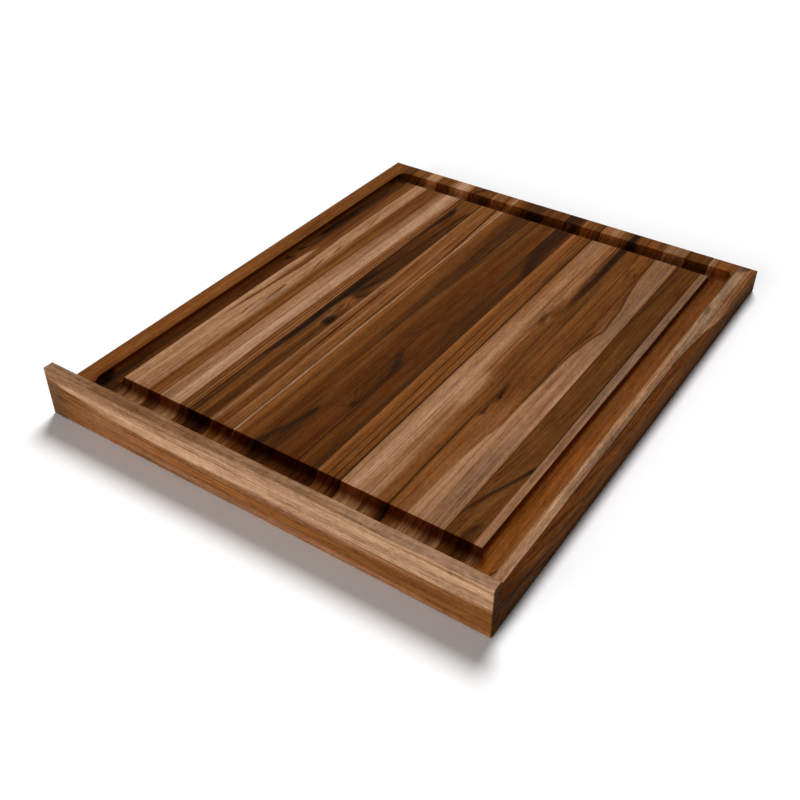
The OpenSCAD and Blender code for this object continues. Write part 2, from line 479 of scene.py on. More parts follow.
JOINTS = [-0.9, 23.0, 50.0, 77.4, 105.3, 131.8, 159.7, 187.1, 213.5, 239.0, 265.4,
          288.9, 315.3, 341.2, 368.2, 396.6, 424.5, 453.0, 480.9, 505.8]


def stave(i, **kw):
    kw.setdefault("seed", 3.7 * i + 1.3)
    w = Wood("wood_%02d" % i, "Y", **kw)
    w.x0, w.x1 = JOINTS[i - 1], JOINTS[i]
    return w


def rows(w, *r):
    w.base(w.x0, w.x1, r)


def done(w, **kw):
    i = int(w.n.mat.name[-2:])
    return w.finish(joints=(w.x0, w.x1), **kw)


# ---- each stave's own figure, from left to right. Numbers are millimetres from
# ---- the board's left side and from the lip's front face.
def stave_01():
    w = stave(1, lean=8)
    rows(w, (0, [(0, "honey"), (6, "honey"), (10, "amber"), (16, "honey"), (22, "honey")]),
         (600, [(0, "honey"), (7, "honey"), (12, "honey"), (20, "brown")]))
    w.patch("olive", 395, 14, 40, 5, 0.45)
    w.patch("olive", 490, 13, 26, 5, 0.35)
    w.patch("rust", 380, 5, 30, 4, 0.35)
    w.patch("rust", 200, 7, 60, 4, 0.3)
    w.mark("brown", [(560, 20, 2, 0), (590, 19, 4, .7), (618, 18, 6, .8)], 2.0)
    # painted shade: near-black on the outer wall of the left groove at its front corner, where the orange-brown wood
    # lies in deep shade
    w.under("#0e0a08", 0, 66, 20, 26, .85)
    w.under("dark", 566, 640, 20, 26, .7)
    # painted shade on the steep outer wall of the left groove, which faces away from the light
    return done(w, stripes=0.8, pins=0.25, wall_tone=(0.8, 0.55, 0.3))


def floor_left(pts):
    """Points read off the floor of the left groove, which lies 11 mm lower than the
    cutting face and so shows shifted: moved to where they lie in the stave."""
    return [(y * 1.0155 + 7.3, 24.9 + (x - 30.4) * 0.734, h * 0.8, k) for y, x, h, k in pts]


def stave_02():
    w = stave(2, lean=14)
    rows(w, (0, [(23, "umber"), (27, "umber"), (31, "umber"), (36, "redbrown"), (42, "brown"), (50, "brown")]),
         (200, [(23, "umber"), (27, "redbrown"), (31, "redbrown"), (36, "redbrown"), (44, "brown"), (50, "brown")]),
         (340, [(23, "umber"), (27, "redbrown"), (31, "redbrown"), (36, "umber"), (44, "brown"), (50, "honey")]),
         (430, [(23, "umber"), (28, "dark"), (31, "umber"), (36, "redbrown"), (44, "redbrown"), (50, "honey")]),
         (560, [(23, "umber"), (28, "greybrown"), (34, "umber"), (40, "redbrown"), (46, "redbrown"), (50, "honey")]),
         (618, [(23, "greybrown"), (31, "brown"), (34, "umber"), (38, "brown"), (45, "amber"), (50, "honey")]))
    w.mark("tan", [(0, 52, 9.4, 1), (290, 52, 9.4, 1), (318, 52, 8.4, 1), (345, 51.5, 6, 1),
                   (362, 51, 3, .9), (385, 50.5, -1, 0)], 0.7, 1.0, 0.5)
    w.mark("cream", [(60, 46.4, .8, .5), (200, 46.4, 1.0, .8), (290, 46.6, 1.0, .7), (340, 48, .8, 0)], .8)
    w.mark("umber", [(345, 50.2, .4, 0), (390, 49.4, .9, .7), (440, 49, 1.0, .7), (490, 47.6, 1.4, .8), (540, 46, 1.2, .7), (600, 45, 1, .5)], .9, .9, .4)
    w.mark("umber", [(370, 45, .5, 0), (410, 44.4, 1.2, .6), (470, 43.6, 1.4, .5), (560, 43.6, 1.2, .4), (600, 43, 1, 0)], 1.0)
    w.mark("honey", [(40, 40, 2.4, .3), (60, 41.2, 2.0, .7), (300, 41, 2.2, .7), (340, 42, 2, .6), (360, 43, 1, 0)], 1.0)
    w.mark("black", floor_left([(392, 33, .8, 0), (405, 33.6, 2.6, .85), (425, 34.4, 3.2, .9), (450, 35, 3.0, .8),
                                (480, 35.4, 2.4, .4), (520, 36, 2, .2), (560, 36, 2, 0)]), 1.4, 1.0, 0.6)
    w.mark("dark", floor_left([(395, 38, 2, 0), (420, 38, 3.4, .5), (500, 38, 3.4, .4), (560, 38, 3, .3), (580, 38, 3, 0)]), 2.0)
    w.mark("honey", floor_left([(326, 41, 1.6, 0), (345, 39, 3.0, .6), (372, 37, 2.6, .7), (392, 36, 2.4, .3), (400, 36, 2, 0)]), 1.6, 1.0, .5)
    w.mark("black", floor_left([(324, 31, 1.5, 0), (330, 32.4, 3.4, .8), (335, 35.5, 2.2, .7), (341, 38.4, 1.2, .6), (352, 40.6, .8, .3), (362, 41.5, .6, 0)]), 0.9)
    w.mark("black", floor_left([(350, 30, .8, 0), (355, 32.4, 2.6, .85), (361, 35.6, 1.6, .85), (370, 38.2, 1.1, .8), (384, 39.8, 1.0, .8), (398, 40.4, .9, .5), (410, 40.4, .6, 0)]), .8)
    w.mark("umber", floor_left([(366, 33.5, .5, 0), (378, 35.4, .9, .6), (390, 36.0, .9, .6), (402, 36, .5, 0)]), .8)
    w.mark("dark", floor_left([(58, 35, 2.6, .8), (90, 34.4, 3.0, .7), (120, 34, 2.8, .6), (150, 33, 2.4, .3), (200, 32, 2, 0)]), 1.8)
    w.mark("mauve", [(60, 24.6, .3, 0), (200, 24.7, .45, .45), (480, 24.8, .5, .5), (570, 24.8, .5, 0)], .5)
    # near-black painted shade on the wall at the front corner of the left groove; the dark floor beside it is partly
    # this stave's own dark heartwood, partly painted shade
    w.under("#0e0a08", 0, 62, 20, 29, .9, 2.2)
    w.under("dark", 0, 60, 29, 43, .8, 2.0)
    w.under("redbrown", 0, 58, 43, 48, .7, 1.0)
    w.under("dark", 582, 640, 20, 52, .75)
    return done(w, stripes=1.0, pins=0.5)


def stave_03():
    w = stave(3, lean=0)
    w.drift([(0, 0), (200, 0), (260, 3.0), (335, 9.0), (400, 6.2), (460, 6.0), (640, 6.0)], 57, 12)
    rows(w, (0, [(50, "tan"), (58, "tan"), (66, "tan"), (72, "tan"), (77, "pinktan")]),
         (330, [(50, "tan"), (60, "tan"), (68, "tan"), (73, "tan"), (77, "pinktan")]),
         (600, [(50, "pinktan"), (60, "tan"), (70, "tan"), (74, "pinktan"), (77, "tanbrown")]))
    # brown wood left of the sapwood edge, and the line along it
    w.mark("brown", [(190, 46, 5.4, 0), (230, 46, 6.6, .7), (250, 46, 7.6, .9), (270, 46, 9.2, .95), (300, 46, 11.4, 1),
                     (322, 46, 13.0, 1), (340, 46, 13.9, 1), (360, 46, 13.0, 1), (400, 46, 11.6, 1),
                     (500, 46, 11.2, 1), (618, 46, 11.2, 1)], 0.6, 0.9, 0.4)
    w.mark("tan", [(200, 48, 3.6, .9), (250, 48, 3.6, .9), (290, 48.4, 4.2, .9), (320, 49, 3.6, .9), (345, 49.6, 2.0, .8), (372, 50, .2, 0)], .8, .9, .4)
    w.mark("honey", [(300, 55.4, 1.4, 0), (330, 56, 2.0, .6), (400, 54.6, 2.2, .6), (520, 54, 2.4, .6), (618, 54, 2.4, .6)], 1.0)
    w.mark("redbrown", [(205, 51.0, .5, 0), (228, 51.4, 1.2, .7), (255, 52.4, 1.5, .85), (285, 54.4, 1.7, .9), (310, 56.8, 1.8, .9),
                     (325, 58.4, 1.7, .9), (342, 58.9, 1.4, .9), (365, 58.0, 1.1, .85), (400, 57.0, .9, .8),
                     (450, 56.8, .9, .8), (575, 56.8, .9, .75), (618, 57, .8, .5)], 0.9, 0.9)
    w.mark("brown", [(250, 52.4, .4, 0), (290, 53.4, 1.0, .6), (330, 55.4, 1.1, .7), (350, 55.4, .9, .7), (400, 53.6, .6, .4), (440, 53, .4, 0)], .8)
    w.mark("umber", [(360, 53.0, .4, 0), (400, 52.0, .9, .6), (450, 51.2, 1.1, .7), (500, 50.2, 1.1, .7), (560, 50, .8, .5), (618, 50, .8, 0)], .9)
    w.mark("tanbrown", [(0, 79.2, 1.0, .5), (200, 79.2, 1.2, .6), (320, 79, 2.4, .7), (420, 79, 3.8, .8), (618, 79, 4.2, .8)], 1.4, .9, .4)
    w.mark("brown", [(380, 78, 1.2, 0), (420, 78, 3.0, .8), (500, 78, 3.6, .8), (618, 78, 3.0, .7)], 1.2, .9, .4)
    # short flecks
    w.mark("greytan", [(205, 74, 3, 0), (222, 73, 5, .8), (262, 73, 5, .8), (285, 73.5, 4, .5), (300, 74, 3, 0)], 2.2, .85, .9)
    w.mark("brown", [(240, 67.6, .3, 0), (256, 68.8, 1.2, .85), (275, 69.0, 1.6, .95), (286, 68.8, 1.4, .9), (290, 68.6, .4, 0)], .6)
    w.mark("redbrown", [(266, 69.0, .3, 0), (276, 69.0, .8, .8), (285, 68.8, .7, .7), (289, 68.6, .2, 0)], .5)
    w.mark("umber", [(203, 68.4, .2, 0), (212, 66.8, .7, .75), (224, 64.8, .9, .8), (236, 63.6, .5, .5), (242, 63.2, .3, 0)], .6)
    w.mark("cream", [(200, 69.8, .3, 0), (212, 68.4, .7, .8), (226, 66.4, .8, .8), (238, 65.2, .3, 0)], .6)
    w.mark("cream", [(222, 63.0, .3, 0), (236, 62.0, .6, .7), (248, 61.4, .3, 0)], .6)
    w.mark("brown", [(364, 74.5, .5, 0), (374, 73.4, 1.4, .7), (386, 71.8, 1.4, .85), (400, 70.6, .5, 0)], .8)
    w.mark("brown", [(441, 71.0, .3, 0), (452, 69.8, .9, .8), (462, 68.2, 1.1, .8), (474, 66.4, .9, .7), (484, 65.0, .4, 0)], .7)
    w.mark("brown", [(478, 66.0, .3, 0), (490, 64.4, .8, .6), (500, 62.6, 1.0, .7), (508, 61.6, .6, .4), (514, 61.2, .3, 0)], .7)
    w.mark("cream", [(488, 62.4, .3, 0), (498, 60.8, .6, .7), (507, 60.2, .3, 0)], .6)
    w.mark("brown", [(322, 77, .4, 0), (331, 75.6, 1.2, .9), (341, 73.6, 1.3, .9), (352, 71.4, 1.1, .8), (362, 70.2, .4, 0)], .7)
    w.mark("cream", [(320, 78, .3, 0), (330, 76.8, .5, .8), (340, 75.2, .4, .6), (346, 74.4, .3, 0)], .5)
    w.mark("brown", [(136, 75.0, .3, 0), (146, 74.2, .8, .7), (158, 72.8, .8, .65), (170, 71.8, .3, 0)], .6)
    w.mark("pinktan", [(380, 61, 2, 0), (450, 62.5, 2.4, .5), (520, 64, 2, .5), (560, 65, 2, 0)], 1.8)
    w.under("redbrown", 0, 60, 51.6, 54.4, .85, .8)
    w.under("brown", 0, 60, 42, 47, .6)
    return done(w, stripes=0.9, pins=0.12, pores=0.5, ripple=0.035)


def stave_04():
    w = stave(4, lean=-2)
    rows(w, (0, [(77.4, "tanbrown"), (80, "honey"), (86, "honey"), (89.5, "amber"), (92, "tanbrown"), (96, "pinktan"), (105, "pinktan")]),
         (330, [(77.4, "tanbrown"), (80, "honey"), (87, "honey"), (90, "amber"), (93, "pinktan"), (99, "pinktan"), (105, "tan")]),
         (600, [(77.4, "brown"), (84, "brown"), (90, "honey"), (95, "tanbrown"), (100, "pinktan"), (105, "pinktan")]))
    w.mark("brown", [(0, 82.6, 2.6, .6), (240, 82.8, 2.4, .7), (330, 82.6, 2.6, .7), (450, 82.4, 3.2, .6), (560, 83, 3, .5)], 1.4, 1, .4)
    w.mark("redbrown", [(0, 94.0, .7, .6), (100, 93.2, .8, .8), (200, 91.4, 1.0, .9), (330, 90.8, 1.0, .9), (430, 92.4, .9, .8), (500, 93.4, .9, .8), (575, 93.2, .9, .8), (618, 92.5, .8, .5)], .7)
    w.mark("brown", [(380, 94.5, .5, 0), (480, 95.4, 1, .5), (618, 96, 1.4, .7)], 1.0)
    w.mark("tan", [(60, 101, 1.5, 0), (160, 102.5, 2, .4), (330, 102, 2, .5), (440, 100, 1.4, 0)], 1.5)
    w.under("umber", 0, 60, 76, 95, .5, 1.6)
    w.under("umber", 585, 640, 76, 95, .5)
    return done(w, stripes=1.0, pins=0.25, gain=.94)


def stave_05():
    w = stave(5, lean=0)
    rows(w, (0, [(105.3, "cream"), (112, "cream"), (118.5, "tan"), (120, "tanbrown"), (126, "brown"), (131.8, "tanbrown")]),
         (330, [(105.3, "tan"), (109, "cream"), (118, "cream"), (120, "tanbrown"), (126, "amber"), (131.8, "tanbrown")]),
         (600, [(105.3, "tan"), (110, "cream"), (118, "cream"), (121, "tan"), (124, "tanbrown"), (131.8, "brown")]))
    w.mark("umber", [(0, 121.4, .8, .8), (250, 121.2, .8, .8), (320, 121.8, .6, .5), (420, 122.5, .5, .3), (480, 123, .4, 0)], .7)
    w.mark("umber", [(0, 125.6, .7, .7), (260, 124.8, .8, .8), (400, 125, .8, .7), (500, 125.6, .7, .5), (560, 126, .5, 0)], .6)
    w.mark("umber", [(0, 130.2, .6, .6), (200, 129.4, .7, .6), (300, 128.4, .8, .7), (440, 128.4, .7, .7), (560, 127.6, .9, .8), (618, 127.4, .8, .7)], .6)
    w.mark("dark", [(500, 128.2, .3, 0), (530, 128, .7, .8), (575, 127.6, .8, .9), (618, 127.4, .8, .8)], .6)
    w.mark("tanbrown", [(0, 127.6, .6, .7), (300, 126.6, .7, .7), (500, 127, .5, 0)], .6)
    return done(w, stripes=0.9, pins=0.15, ripple=0.025)


def stave_06():
    w = stave(6, lean=18, sway=1.4)
    w.bend(257, 153.5, 20, 6, 4.5)
    w.drift([(0, 0), (190, 0), (330, 4.0), (420, 9.0), (520, 15.0), (640, 18)], 148, 14)
    rows(w, (0, [(131.8, "brown"), (137, "brown"), (145, "brown"), (152, "honey"), (159.7, "brown")]),
         (230, [(131.8, "brown"), (139, "brown"), (144, "honey"), (150, "honey"), (156, "honey"), (159.7, "brown")]),
         (330, [(131.8, "umber"), (138, "umber"), (145, "umber"), (152, "greybrown"), (159.7, "umber")]),
         (520, [(131.8, "redbrown"), (138, "redbrown"), (146, "brown"), (152, "umber"), (159.7, "redbrown")]),
         (575, [(131.8, "brown"), (140, "honey"), (150, "brown"), (159.7, "honey")]))
    w.mark("rust", [(150, 147, 3, 0), (190, 148, 4, .4), (220, 148, 3, 0)], 2.4, .9, 1.0)
    # red-tan wood round the knot
    w.mark("tanbrown", [(226, 145.5, 2, 0), (252, 144.8, 2.6, .8), (276, 146.4, 4.5, .9), (300, 148, 6.5, .9), (312, 148, 4, 0)], 1.6, 1, .8)
    w.mark("amber", [(276, 147, 2, 0), (290, 148.6, 3.6, .7), (306, 149, 4, .6), (314, 149, 2, 0)], 1.6, 1, .6)
    w.mark("amber", [(282, 153, 3, 0), (296, 155, 4.4, .6), (310, 157, 3, .2), (316, 157, 2, 0)], 1.6)
    w.mark("greybrown", [(264, 151.5, 3, 0), (276, 150.4, 2.8, .65), (288, 148.8, 2, .5), (296, 148, 1, 0)], 1.4, 1, .5)
    w.mark("umber", [(262, 151, .8, 0), (274, 148.8, 1.1, .85), (286, 147.6, 1.0, .75), (300, 146.6, .5, 0)], .8)
    w.mark("umber", [(268, 158, .8, 0), (282, 156.4, 1.1, .7), (294, 152.6, 1.0, .7), (304, 149.8, .5, 0)], .8)
    # dark wedge above it
    w.mark("dark", [(302, 149, .8, 0), (310, 152, 2.6, .75), (317, 156, 4.0, .8), (324, 158.6, 2.6, .5), (332, 160, 1.5, 0)], 1.0, .9, .5)
    # dark line that runs from the back right to the left side
    w.mark("dark", [(318, 138, 1.5, .6), (345, 141, 1.5, .9), (380, 143.4, 1.5, .95), (420, 145.8, 1.5, .95), (455, 147.6, 1.6, .95),
                    (490, 149.4, 1.8, .9), (520, 152.0, 2.2, .9), (540, 155.2, 2.0, .85), (556, 158.5, 1.2, 0)], 1.0, .92, .5)
    w.mark("dark", [(345, 155, 2.0, .0), (380, 153.6, 4.4, .6), (430, 154, 5.2, .75), (480, 155.2, 4.6, .7), (510, 156.6, 3.4, .55), (540, 158.6, 1.6, .2)], 2.0, .85, .8)
    w.mark("dark", [(312, 143.6, 1.6, .3), (325, 146, 2.1, .9), (340, 149.6, 2.3, .95), (352, 152.4, 2.2, .9), (364, 155.8, 1.6, .6), (376, 158.5, .8, 0)], 1.0, .95, .4)
    w.mark("black", [(322, 145.4, .6, 0), (334, 148.0, 1.1, .7), (346, 151.0, 1.1, .7), (358, 154, .5, 0)], .9)
    w.mark("brown", [(322, 156, 1.4, 0), (334, 155.4, 3, .6), (346, 157.6, 2, .5), (356, 159, 1, 0)], 1.4, 1, .5)
    # blue-black streak along the left side, wavy
    w.mark("dark", [(0, 132.8, 1.2, .75), (170, 133.0, 1.3, .8), (200, 133.2, 1.2, .6), (300, 133, 1, .5), (400, 133.4, 1.1, .85), (500, 133.6, 1.3, .9), (575, 133, .9, .6), (618, 133, .8, .3)], .9)
    w.mark("slate", [(60, 135.4, 1.0, 0), (76, 135.4, 1.8, .45), (98, 135, 1.0, 0)], 1.6)
    w.mark("slate", [(146, 133.6, .8, 0), (166, 134.4, 1.8, .6), (184, 135.3, 2.8, .85), (205, 136.2, 3.5, .92), (222, 136.9, 4.0, .95), (243, 137.2, 3.9, .95), (262, 136.9, 3.4, .95), (282, 137.0, 3.0, .95),
                     (300, 138.6, 2.8, .95), (318, 139.8, 3.8, .95), (336, 139.4, 4.8, .95), (350, 138.2, 3.8, .8), (368, 137.4, 2.2, .3), (384, 137, 1.4, 0)], 1.2, .97, .8)
    w.mark("honey", [(40, 153, 4.8, .5), (120, 153, 5.2, .6), (200, 152, 4.8, .5), (236, 151, 3.4, 0)], 2.4, .8, 1.0)
    w.mark("umber", [(40, 136, 3.2, .5), (90, 135.8, 3.4, .6), (130, 135.4, 2.4, .5), (160, 135, 2, .3), (175, 135, 1.5, 0)], 1.6, .85, .8)
    w.mark("umber", [(180, 139.6, 1.2, 0), (205, 140.6, 1.6, .4), (240, 142.2, 1.8, .5), (300, 142.6, 1.6, .4), (312, 143, 1, 0)], 1.6, .8, .6)
    w.mark("black", [(190, 135, .4, 0), (214, 136.6, 1.2, .6), (240, 137.8, 1.2, .7), (270, 136.8, 1.4, .6), (300, 138.4, 1.4, .7), (330, 138.8, 2.8, .8), (350, 138.2, 1.4, 0)], 1.2, 1, .6)
    w.mark("black", [(452, 134.4, .3, 0), (480, 135.0, .9, .7), (500, 135.8, 1.5, .85), (514, 136.8, 2.4, .95), (530, 137.6, 2.8, .95),
                     (540, 137.0, 3.0, .95), (547, 136.4, 1.8, .6), (553, 136, .6, 0)], .9, .95, .7)
    w.mark("dark", [(528, 139.6, .8, 0), (538, 140.0, 1.4, .7), (546, 140.4, .6, 0)], .8)
    # the knot
    w.mark("dark", [(262, 153.5, 5.0, .6), (268, 154, 4.6, .5), (274, 155.6, 2.6, .4), (282, 157.4, 1.0, 0)], 1.0, 1, .5)
    w.knot(256.5, 153.4, 12.5, 7.0, "umber", "dark", 0.95, 8.0)
    w.mark("black", [(246, 152, 2.2, 0), (251, 152.6, 4.6, .75), (260, 153.8, 4.6, .8), (266, 155, 2.6, .3), (270, 156, 1, 0)], 1.2, 1, .8)
    # dark streak that crosses the back rim
    w.mark("dark", [(590, 132.6, 2.0, 0), (598, 133.6, 2.4, .7), (606, 137.4, 3.0, .85), (612, 141.4, 3.6, .9), (618, 146, 4.4, .9)], 1.2, .95, .6)
    w.under("dark", 0, 62, 131, 160, .75)
    w.under("black", 585, 640, 146, 158, .6, 3.0)
    # painted shade on the floor of the groove runs, set darker here for this stave's darker wood
    return done(w, stripes=1.1, pins=0.3, gain=.93, end_tone=(0.52, 0.38, 0.30), run_tone=(0.42, 0.31, 0.25))


def stave_07():
    w = stave(7, lean=8)
    w.drift([(0, 0), (330, 0), (450, -1.5), (640, -7.5)])
    rows(w, (0, [(159.7, "pinktan"), (163, "tanbrown"), (168, "amber"), (174, "honey"), (178, "tanbrown"), (182, "amber"), (187, "tanbrown")]),
         (600, [(159.7, "tanbrown"), (165, "tanbrown"), (172, "amber"), (178, "tanbrown"), (182, "amber"), (187, "amber")]))
    w.mark("tan", [(0, 162.4, .9, .2), (200, 163, 1.0, .3), (400, 162.6, 1.0, .4), (560, 161, 1, .3), (618, 161, 1, .3)], .9)
    w.mark("redbrown", [(0, 173.6, .8, .5), (100, 175.0, 1.0, .65), (150, 173.8, .9, .75), (190, 171.6, 1.0, .9), (220, 170.4, 1.3, 1), (260, 169.8, 1.4, 1), (310, 169.0, 1.2, 1), (340, 168.2, 1.0, .9), (400, 166.6, .8, .8), (460, 164.8, .7, .7), (520, 163, .6, .4), (560, 162, .4, 0)], .7, .95)
    w.mark("dark", [(195, 171.2, .2, 0), (220, 170.6, .6, .9), (290, 169.6, .6, .9), (330, 168.6, .4, .6), (360, 168, .3, 0)], .5)
    w.mark("brown", [(60, 167.6, .5, .4), (150, 166.8, .7, .7), (260, 165.6, .7, .7), (340, 164.8, .6, .5), (420, 164, .4, 0)], .6)
    w.mark("tan", [(0, 177.4, 1.0, .2), (200, 177.4, 1.2, .3), (330, 177, 1.1, .3), (400, 176, 1.1, .2), (618, 170, 1.0, .1)], 1.2)
    w.mark("brown", [(60, 178.6, .4, .4), (220, 178.4, .6, .6), (330, 178.2, .6, .5), (400, 178, .4, 0)], .6)
    w.mark("brown", [(60, 164.6, .4, .4), (180, 164.0, .5, .5), (300, 163.4, .5, .4), (360, 163, .3, 0)], .6)
    w.mark("brown", [(60, 181, .5, .5), (250, 181.2, .6, .6), (380, 181, .6, .5), (440, 180, 1.0, .7), (480, 178.4, 1.3, .75), (520, 176.8, .8, .5), (570, 174, .5, 0)], .7)
    w.mark("rust", [(446, 178.6, .6, 0), (458, 178.4, 1.6, .7), (470, 178, 1.6, .6), (484, 177.4, .6, 0)], 1.0)
    w.mark("brown", [(60, 183.6, .4, .5), (200, 183.4, .5, .5), (330, 183.4, .4, .3), (400, 183, .4, 0)], .5)
    w.mark("umber", [(0, 186.2, .6, .4), (220, 186.6, .6, .5), (290, 186.6, .9, .85), (335, 186.4, 1.0, .9), (360, 186.4, .6, .5), (400, 186.6, .8, .5), (435, 186.6, 1.1, .85), (480, 185.6, 1.2, .95), (520, 183.8, 1.2, .95), (560, 181.4, 1.1, .9), (618, 179, .9, .7)], .6)
    w.mark("brown", [(450, 174, .4, 0), (500, 172.4, .8, .6), (560, 169.4, .7, .5), (600, 167.6, .5, .3), (618, 167, .4, 0)], .7)
    w.mark("tan", [(400, 189, .6, 0), (460, 188.4, 1.0, .7), (520, 187.4, 1.3, .7), (600, 186.4, 1.4, .6), (618, 186, 1.2, .5)], .8)
    return done(w, stripes=1.1, pins=0.5, pin_gap=2.6, gain=.9)


def stave_08():
    w = stave(8, lean=10)
    rows(w, (0, [(187.1, "tanbrown"), (191, "tanbrown"), (196, "honey"), (205, "brown"), (213.5, "brown")]),
         (330, [(187.1, "tanbrown"), (192, "amber"), (197, "brown"), (206, "brown"), (213.5, "redbrown")]),
         (600, [(187.1, "tanbrown"), (193, "honey"), (199, "brown"), (208, "redbrown"), (213.5, "umber")]))
    w.mark("cream", [(0, 189.0, .9, .85), (330, 189.0, 1.0, .85), (380, 188.8, .8, .5), (430, 189.4, 1.1, .8), (560, 190, 1.3, .9), (618, 189.6, 2.2, .9)], .6, .92)
    w.mark("umber", [(0, 187.4, .5, .5), (240, 187.4, .6, .6), (330, 187.4, .8, .8), (380, 187.4, .5, .3), (420, 187.3, .4, 0)], .5)
    w.mark("umber", [(0, 191.2, .4, .5), (300, 191.4, .4, .5), (618, 192.5, .4, .3)], .5)
    w.mark("redbrown", [(200, 197.6, .5, 0), (330, 196.6, .9, .6), (420, 195.8, 1.1, .8), (480, 196, .9, .6), (540, 197, .5, 0)], .8)
    w.mark("redbrown", [(0, 199.6, .8, .5), (150, 200.4, .9, .7), (240, 200, .9, .6), (300, 198.5, .8, .5), (360, 198, .6, 0)], .9)
    w.mark("umber", [(440, 209, 1.0, 0), (500, 209, 1.6, .4), (618, 208.5, 2.5, .5)], 1.8)
    w.mark("honey", [(40, 206, 3, .3), (200, 206, 3, .5), (330, 205, 3, .4), (460, 203, 2, 0)], 2.0)
    return done(w, stripes=0.8, pins=0.3)


def stave_09():
    w = stave(9, lean=14)
    w.drift([(0, 7), (60, 6), (133, 0), (220, -3), (330, 0), (480, 4), (640, 10)])
    rows(w, (0, [(213.5, "redbrown"), (220, "redbrown"), (228, "redbrown"), (239, "redbrown")]),
         (200, [(213.5, "redbrown"), (219, "redbrown"), (226, "redbrown"), (233, "brown"), (239, "redbrown")]),
         (330, [(213.5, "redbrown"), (219, "greybrown"), (226, "brown"), (233, "redbrown"), (239, "redbrown")]),
         (480, [(213.5, "umber"), (222, "greybrown"), (228, "olive"), (239, "redbrown")]))
    w.mark("greybrown", [(300, 216, 2, 0), (340, 216.5, 4, .5), (400, 216.5, 5.5, .6), (440, 217, 7, .6), (480, 218.5, 7, .8), (520, 220.3, 8, .9),
                         (560, 221.8, 9.4, .9), (590, 222.4, 10.4, .9), (618, 223, 11, .9)], 1.6, .85, .8)
    w.mark("umber", [(330, 214.6, .5, 0), (430, 214.6, 1.2, .5), (480, 215, 1.8, .8), (560, 215, 2.4, .7), (618, 215, 3, .6)], 1.2)
    w.mark("umber", [(470, 225, 1.0, 0), (500, 225.5, 1.6, .5), (545, 227.6, 1.6, .6), (580, 229, 2, .6), (618, 229, 2, .5)], 1.4, .9, .5)
    w.mark("honey", [(430, 229.4, .6, 0), (480, 228.4, 1.0, .5), (530, 230, 1.0, .6), (570, 231.6, 1.0, .5), (600, 232, 1, 0)], 1.0)
    w.mark("brown", [(560, 236, 2.5, 0), (590, 237, 3.2, .7), (618, 238, 3.2, .8)], 1.2)
    w.mark("umber", [(325, 219, 1.6, 0), (345, 220, 2.6, .6), (370, 219, 2.6, .6), (395, 217, 2, 0)], 2.0)
    w.mark("umber", [(130, 216.5, .3, 0), (160, 217.8, .5, .4), (210, 220.2, .7, .7), (250, 221.4, .8, .8), (290, 221.5, .7, .7), (340, 220.6, .6, .3), (360, 220, .4, 0)], .7)
    w.mark("honey", [(130, 218, .3, 0), (170, 219.6, .6, .7), (230, 222.4, .7, .8), (300, 223.2, .7, .7), (340, 223.4, .3, 0)], .7)
    w.mark("honey", [(70, 218, .3, 0), (110, 222.4, .7, .6), (150, 226.4, .7, .6), (200, 230, .6, .4), (240, 232, .3, 0)], .8)
    w.mark("umber", [(80, 224, .3, 0), (130, 229, .6, .5), (180, 234, .6, .5), (230, 238, .5, .3), (250, 239, .3, 0)], .8)
    w.mark("umber", [(60, 216, .4, .3), (100, 220, .5, .5), (150, 225, .5, .4), (200, 229, .4, 0)], .8)
    # wedge of slate-dark wood at the front, darkest along its slanting side
    w.mark("umber", [(0, 226, 17, .8), (59, 227.2, 13, .8), (70, 229, 10.8, .8), (80, 231, 9, .8), (92, 233.2, 6.4, .8), (108, 235.0, 4.6, .8), (122, 236.0, 3.2, .8),
                     (132, 236.2, 1.8, .6), (140, 236.4, .2, 0)], 1.2, .75, .7)
    w.mark("slate", [(0, 217, 5.4, .8), (58, 219, 5.0, .75), (70, 222.0, 4.8, .7), (82, 225.6, 4.8, .7), (96, 229.6, 4.6, .75), (108, 232.6, 4.2, .8), (122, 234.8, 3.6, .85), (132, 236, 2.6, .7), (139, 236.4, .4, 0)], 2.2, .8, .9)
    w.mark("black", [(0, 214, 2.0, .6), (60, 217, 2.0, .6), (70, 220, 1.8, .4), (92, 227.8, 1.8, .4), (112, 232.8, 2.4, .5), (126, 235.2, 2.4, .6), (134, 236, .8, 0)], 2.0, .8, .5)
    w.mark("umber", [(40, 234, 5, .6), (76, 235.0, 4.4, .6), (96, 236.8, 3.0, .5), (112, 238, 2, 0)], 1.8, .8, .6)
    w.under("black", 585, 640, 213.4, 239, .92)
    return done(w, stripes=0.85, pins=0.3, gain=.93)


